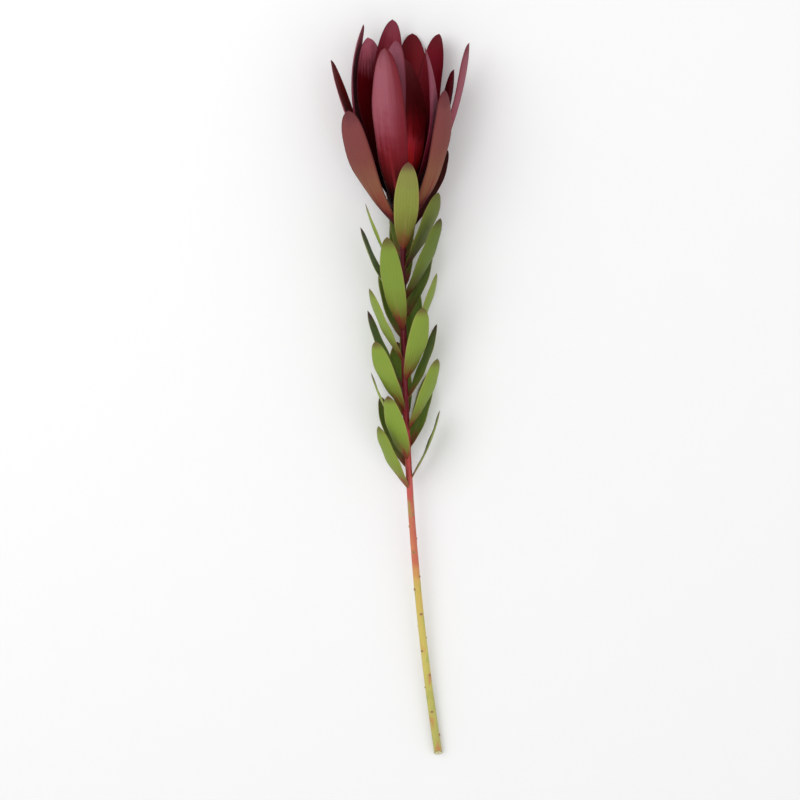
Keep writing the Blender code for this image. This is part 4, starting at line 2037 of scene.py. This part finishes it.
@dataclass
class SeedCone:
    """The small cone in the middle of the bracts."""

    habit: Habit
    height: float = 0.0155
    radius: float = 0.0050
    foot: float = 0.16
    bluntness: float = 0.7
    core_top: float = 0.96
    core_share: float = 0.80
    rings: int = 32
    tube: Tube = Tube(sides=32, relief=0.0002, grain=900.0, stretch=1.0)
    scale: ScaleShape = ScaleShape(
        length=0.0040,
        width=0.0034,
        thickness=0.0005,
        cup=math.radians(32.0),
        lean_tip=math.radians(-34.0),
        outline=Outline(base=0.6, peak=0.45, rise=2.0, blunt=0.6),
    )
    scatter: Scatter = Scatter(
        count=84,
        first_turn=0.4,
        start=0.02,
        end=0.96,
        first_lean=math.radians(30.0),
        last_lean=math.radians(2.0),
        first_size=1.0,
        last_size=0.62,
        crowding=0.85,
        uneven=0.12,
        seed=7,
    )

    def path(self) -> list[PathPoint]:
        """Points up the cone's core.

        Returns:
            The points.
        """
        base = self.habit.head_base + self.habit.receptacle_height + self.habit.gap
        points = []
        for i in range(self.rings + 1):
            share = self.core_top * i / self.rings
            plump = math.sin(math.pi * mix(self.foot, 1.0, share)) ** self.bluntness
            place = self.habit.axis.point(base + self.height * share)
            points.append(PathPoint(place, self.core_share * self.radius * plump))
        return points

    def core(self) -> bpy.types.Object:
        """The cone's core."""
        return tubed("cone_core", self.path(), self.tube, CONE_CORE_FINISH)

    def scales(self) -> bpy.types.Object:
        """The scales that overlap up the cone."""
        return scattered("cone_scales", self.path(), self.scale, self.scatter, CONE_FINISH)

    def build(self) -> None:
        """Builds the pieces and dresses them."""
        dressed(self.scales(), Slot.CONE, Node.CONE)
        dressed(self.core(), Slot.CONE)


@dataclass(frozen=True)
class Lamp:
    """A square soft light: its place, the length of its side and its power in watts."""

    name: str
    place: tuple[float, float, float]
    side: float
    power: float


@dataclass
class Studio:
    """The pale floor, the soft light and the camera, which looks down on the stem."""

    floor_size: float = 16.0
    floor_colour: Colour = (0.86, 0.86, 0.86)
    floor_grain: float = 40.0
    floor_evenness: float = 0.99
    floor_roughness: float = 0.9
    floor_specular: float = 0.2
    sky: float = 0.8
    target: tuple[float, float, float] = (0.0, 0.0, 0.018)
    distance: float = 1.335
    tilt: float = math.radians(8.0)
    lens: float = 100.0
    lamps: tuple[Lamp, ...] = (
        Lamp("key", (-0.75, 0.55, 1.15), side=1.1, power=9.0),
        Lamp("fill", (0.95, -0.1, 1.0), side=1.2, power=2.0),
    )

    def floor(self) -> None:
        """Lays the floor, which is almost one even shade."""
        sheet = Palette("pale_floor")
        grain = sheet.grain(self.floor_grain, detail=2.0)
        darker = tuple(self.floor_evenness * part for part in self.floor_colour)
        shade = sheet.blend(grain, self.floor_colour, darker)
        material = sheet.finish(
            Base_Color=shade, Roughness=self.floor_roughness, Specular_IOR_Level=self.floor_specular
        )
        builder = bmesh.new()
        bmesh.ops.create_grid(builder, x_segments=1, y_segments=1, size=self.floor_size / 2.0)
        mesh_object("floor", builder, material)

    def hang(self, lamp: Lamp) -> None:
        """Hangs a light, turned towards the plant.

        Args:
            lamp: The light.
        """
        light = bpy.data.lights.new(lamp.name, "AREA")
        light.size = lamp.side
        light.energy = lamp.power
        made = placed(lamp.name, light)
        made.location = lamp.place
        made.rotation_euler = (Vector(self.target) - Vector(lamp.place)).to_track_quat("-Z", "Y").to_euler()

    def camera(self) -> None:
        """Sets the camera above the stem, with the flower head at the top of its frame."""
        made = placed("camera", bpy.data.cameras.new("camera"))
        made.data.lens = self.lens
        back = Vector((0.0, math.sin(self.tilt), math.cos(self.tilt)))
        made.location = Vector(self.target) + back * self.distance
        made.rotation_euler = (-self.tilt, 0.0, 0.0)
        bpy.context.scene.camera = made

    def build(self) -> None:
        """Sets the stage."""
        self.floor()
        for lamp in self.lamps:
            self.hang(lamp)
        world = bpy.data.worlds.new("sky")
        world.use_nodes = True
        backdrop = world.node_tree.nodes["Background"]
        backdrop.inputs["Color"].default_value = (1.0, 1.0, 1.0, 1.0)
        backdrop.inputs["Strength"].default_value = self.sky
        bpy.context.scene.world = world
        bpy.context.scene.view_settings.view_transform = "Standard"
        self.camera()


def main() -> None:
    """Builds the plant, piece by piece, and then the studio."""
    logging.basicConfig(level=logging.INFO, format="%(name)s: %(message)s")
    habit = Habit()
    leaves, bracts = Settling(habit).blades()
    LeafyStem(habit, leaves).build()
    FlowerHead(habit, bracts).build()
    SeedCone(habit).build()
    Studio().build()


if __name__ == "__main__":
    main()
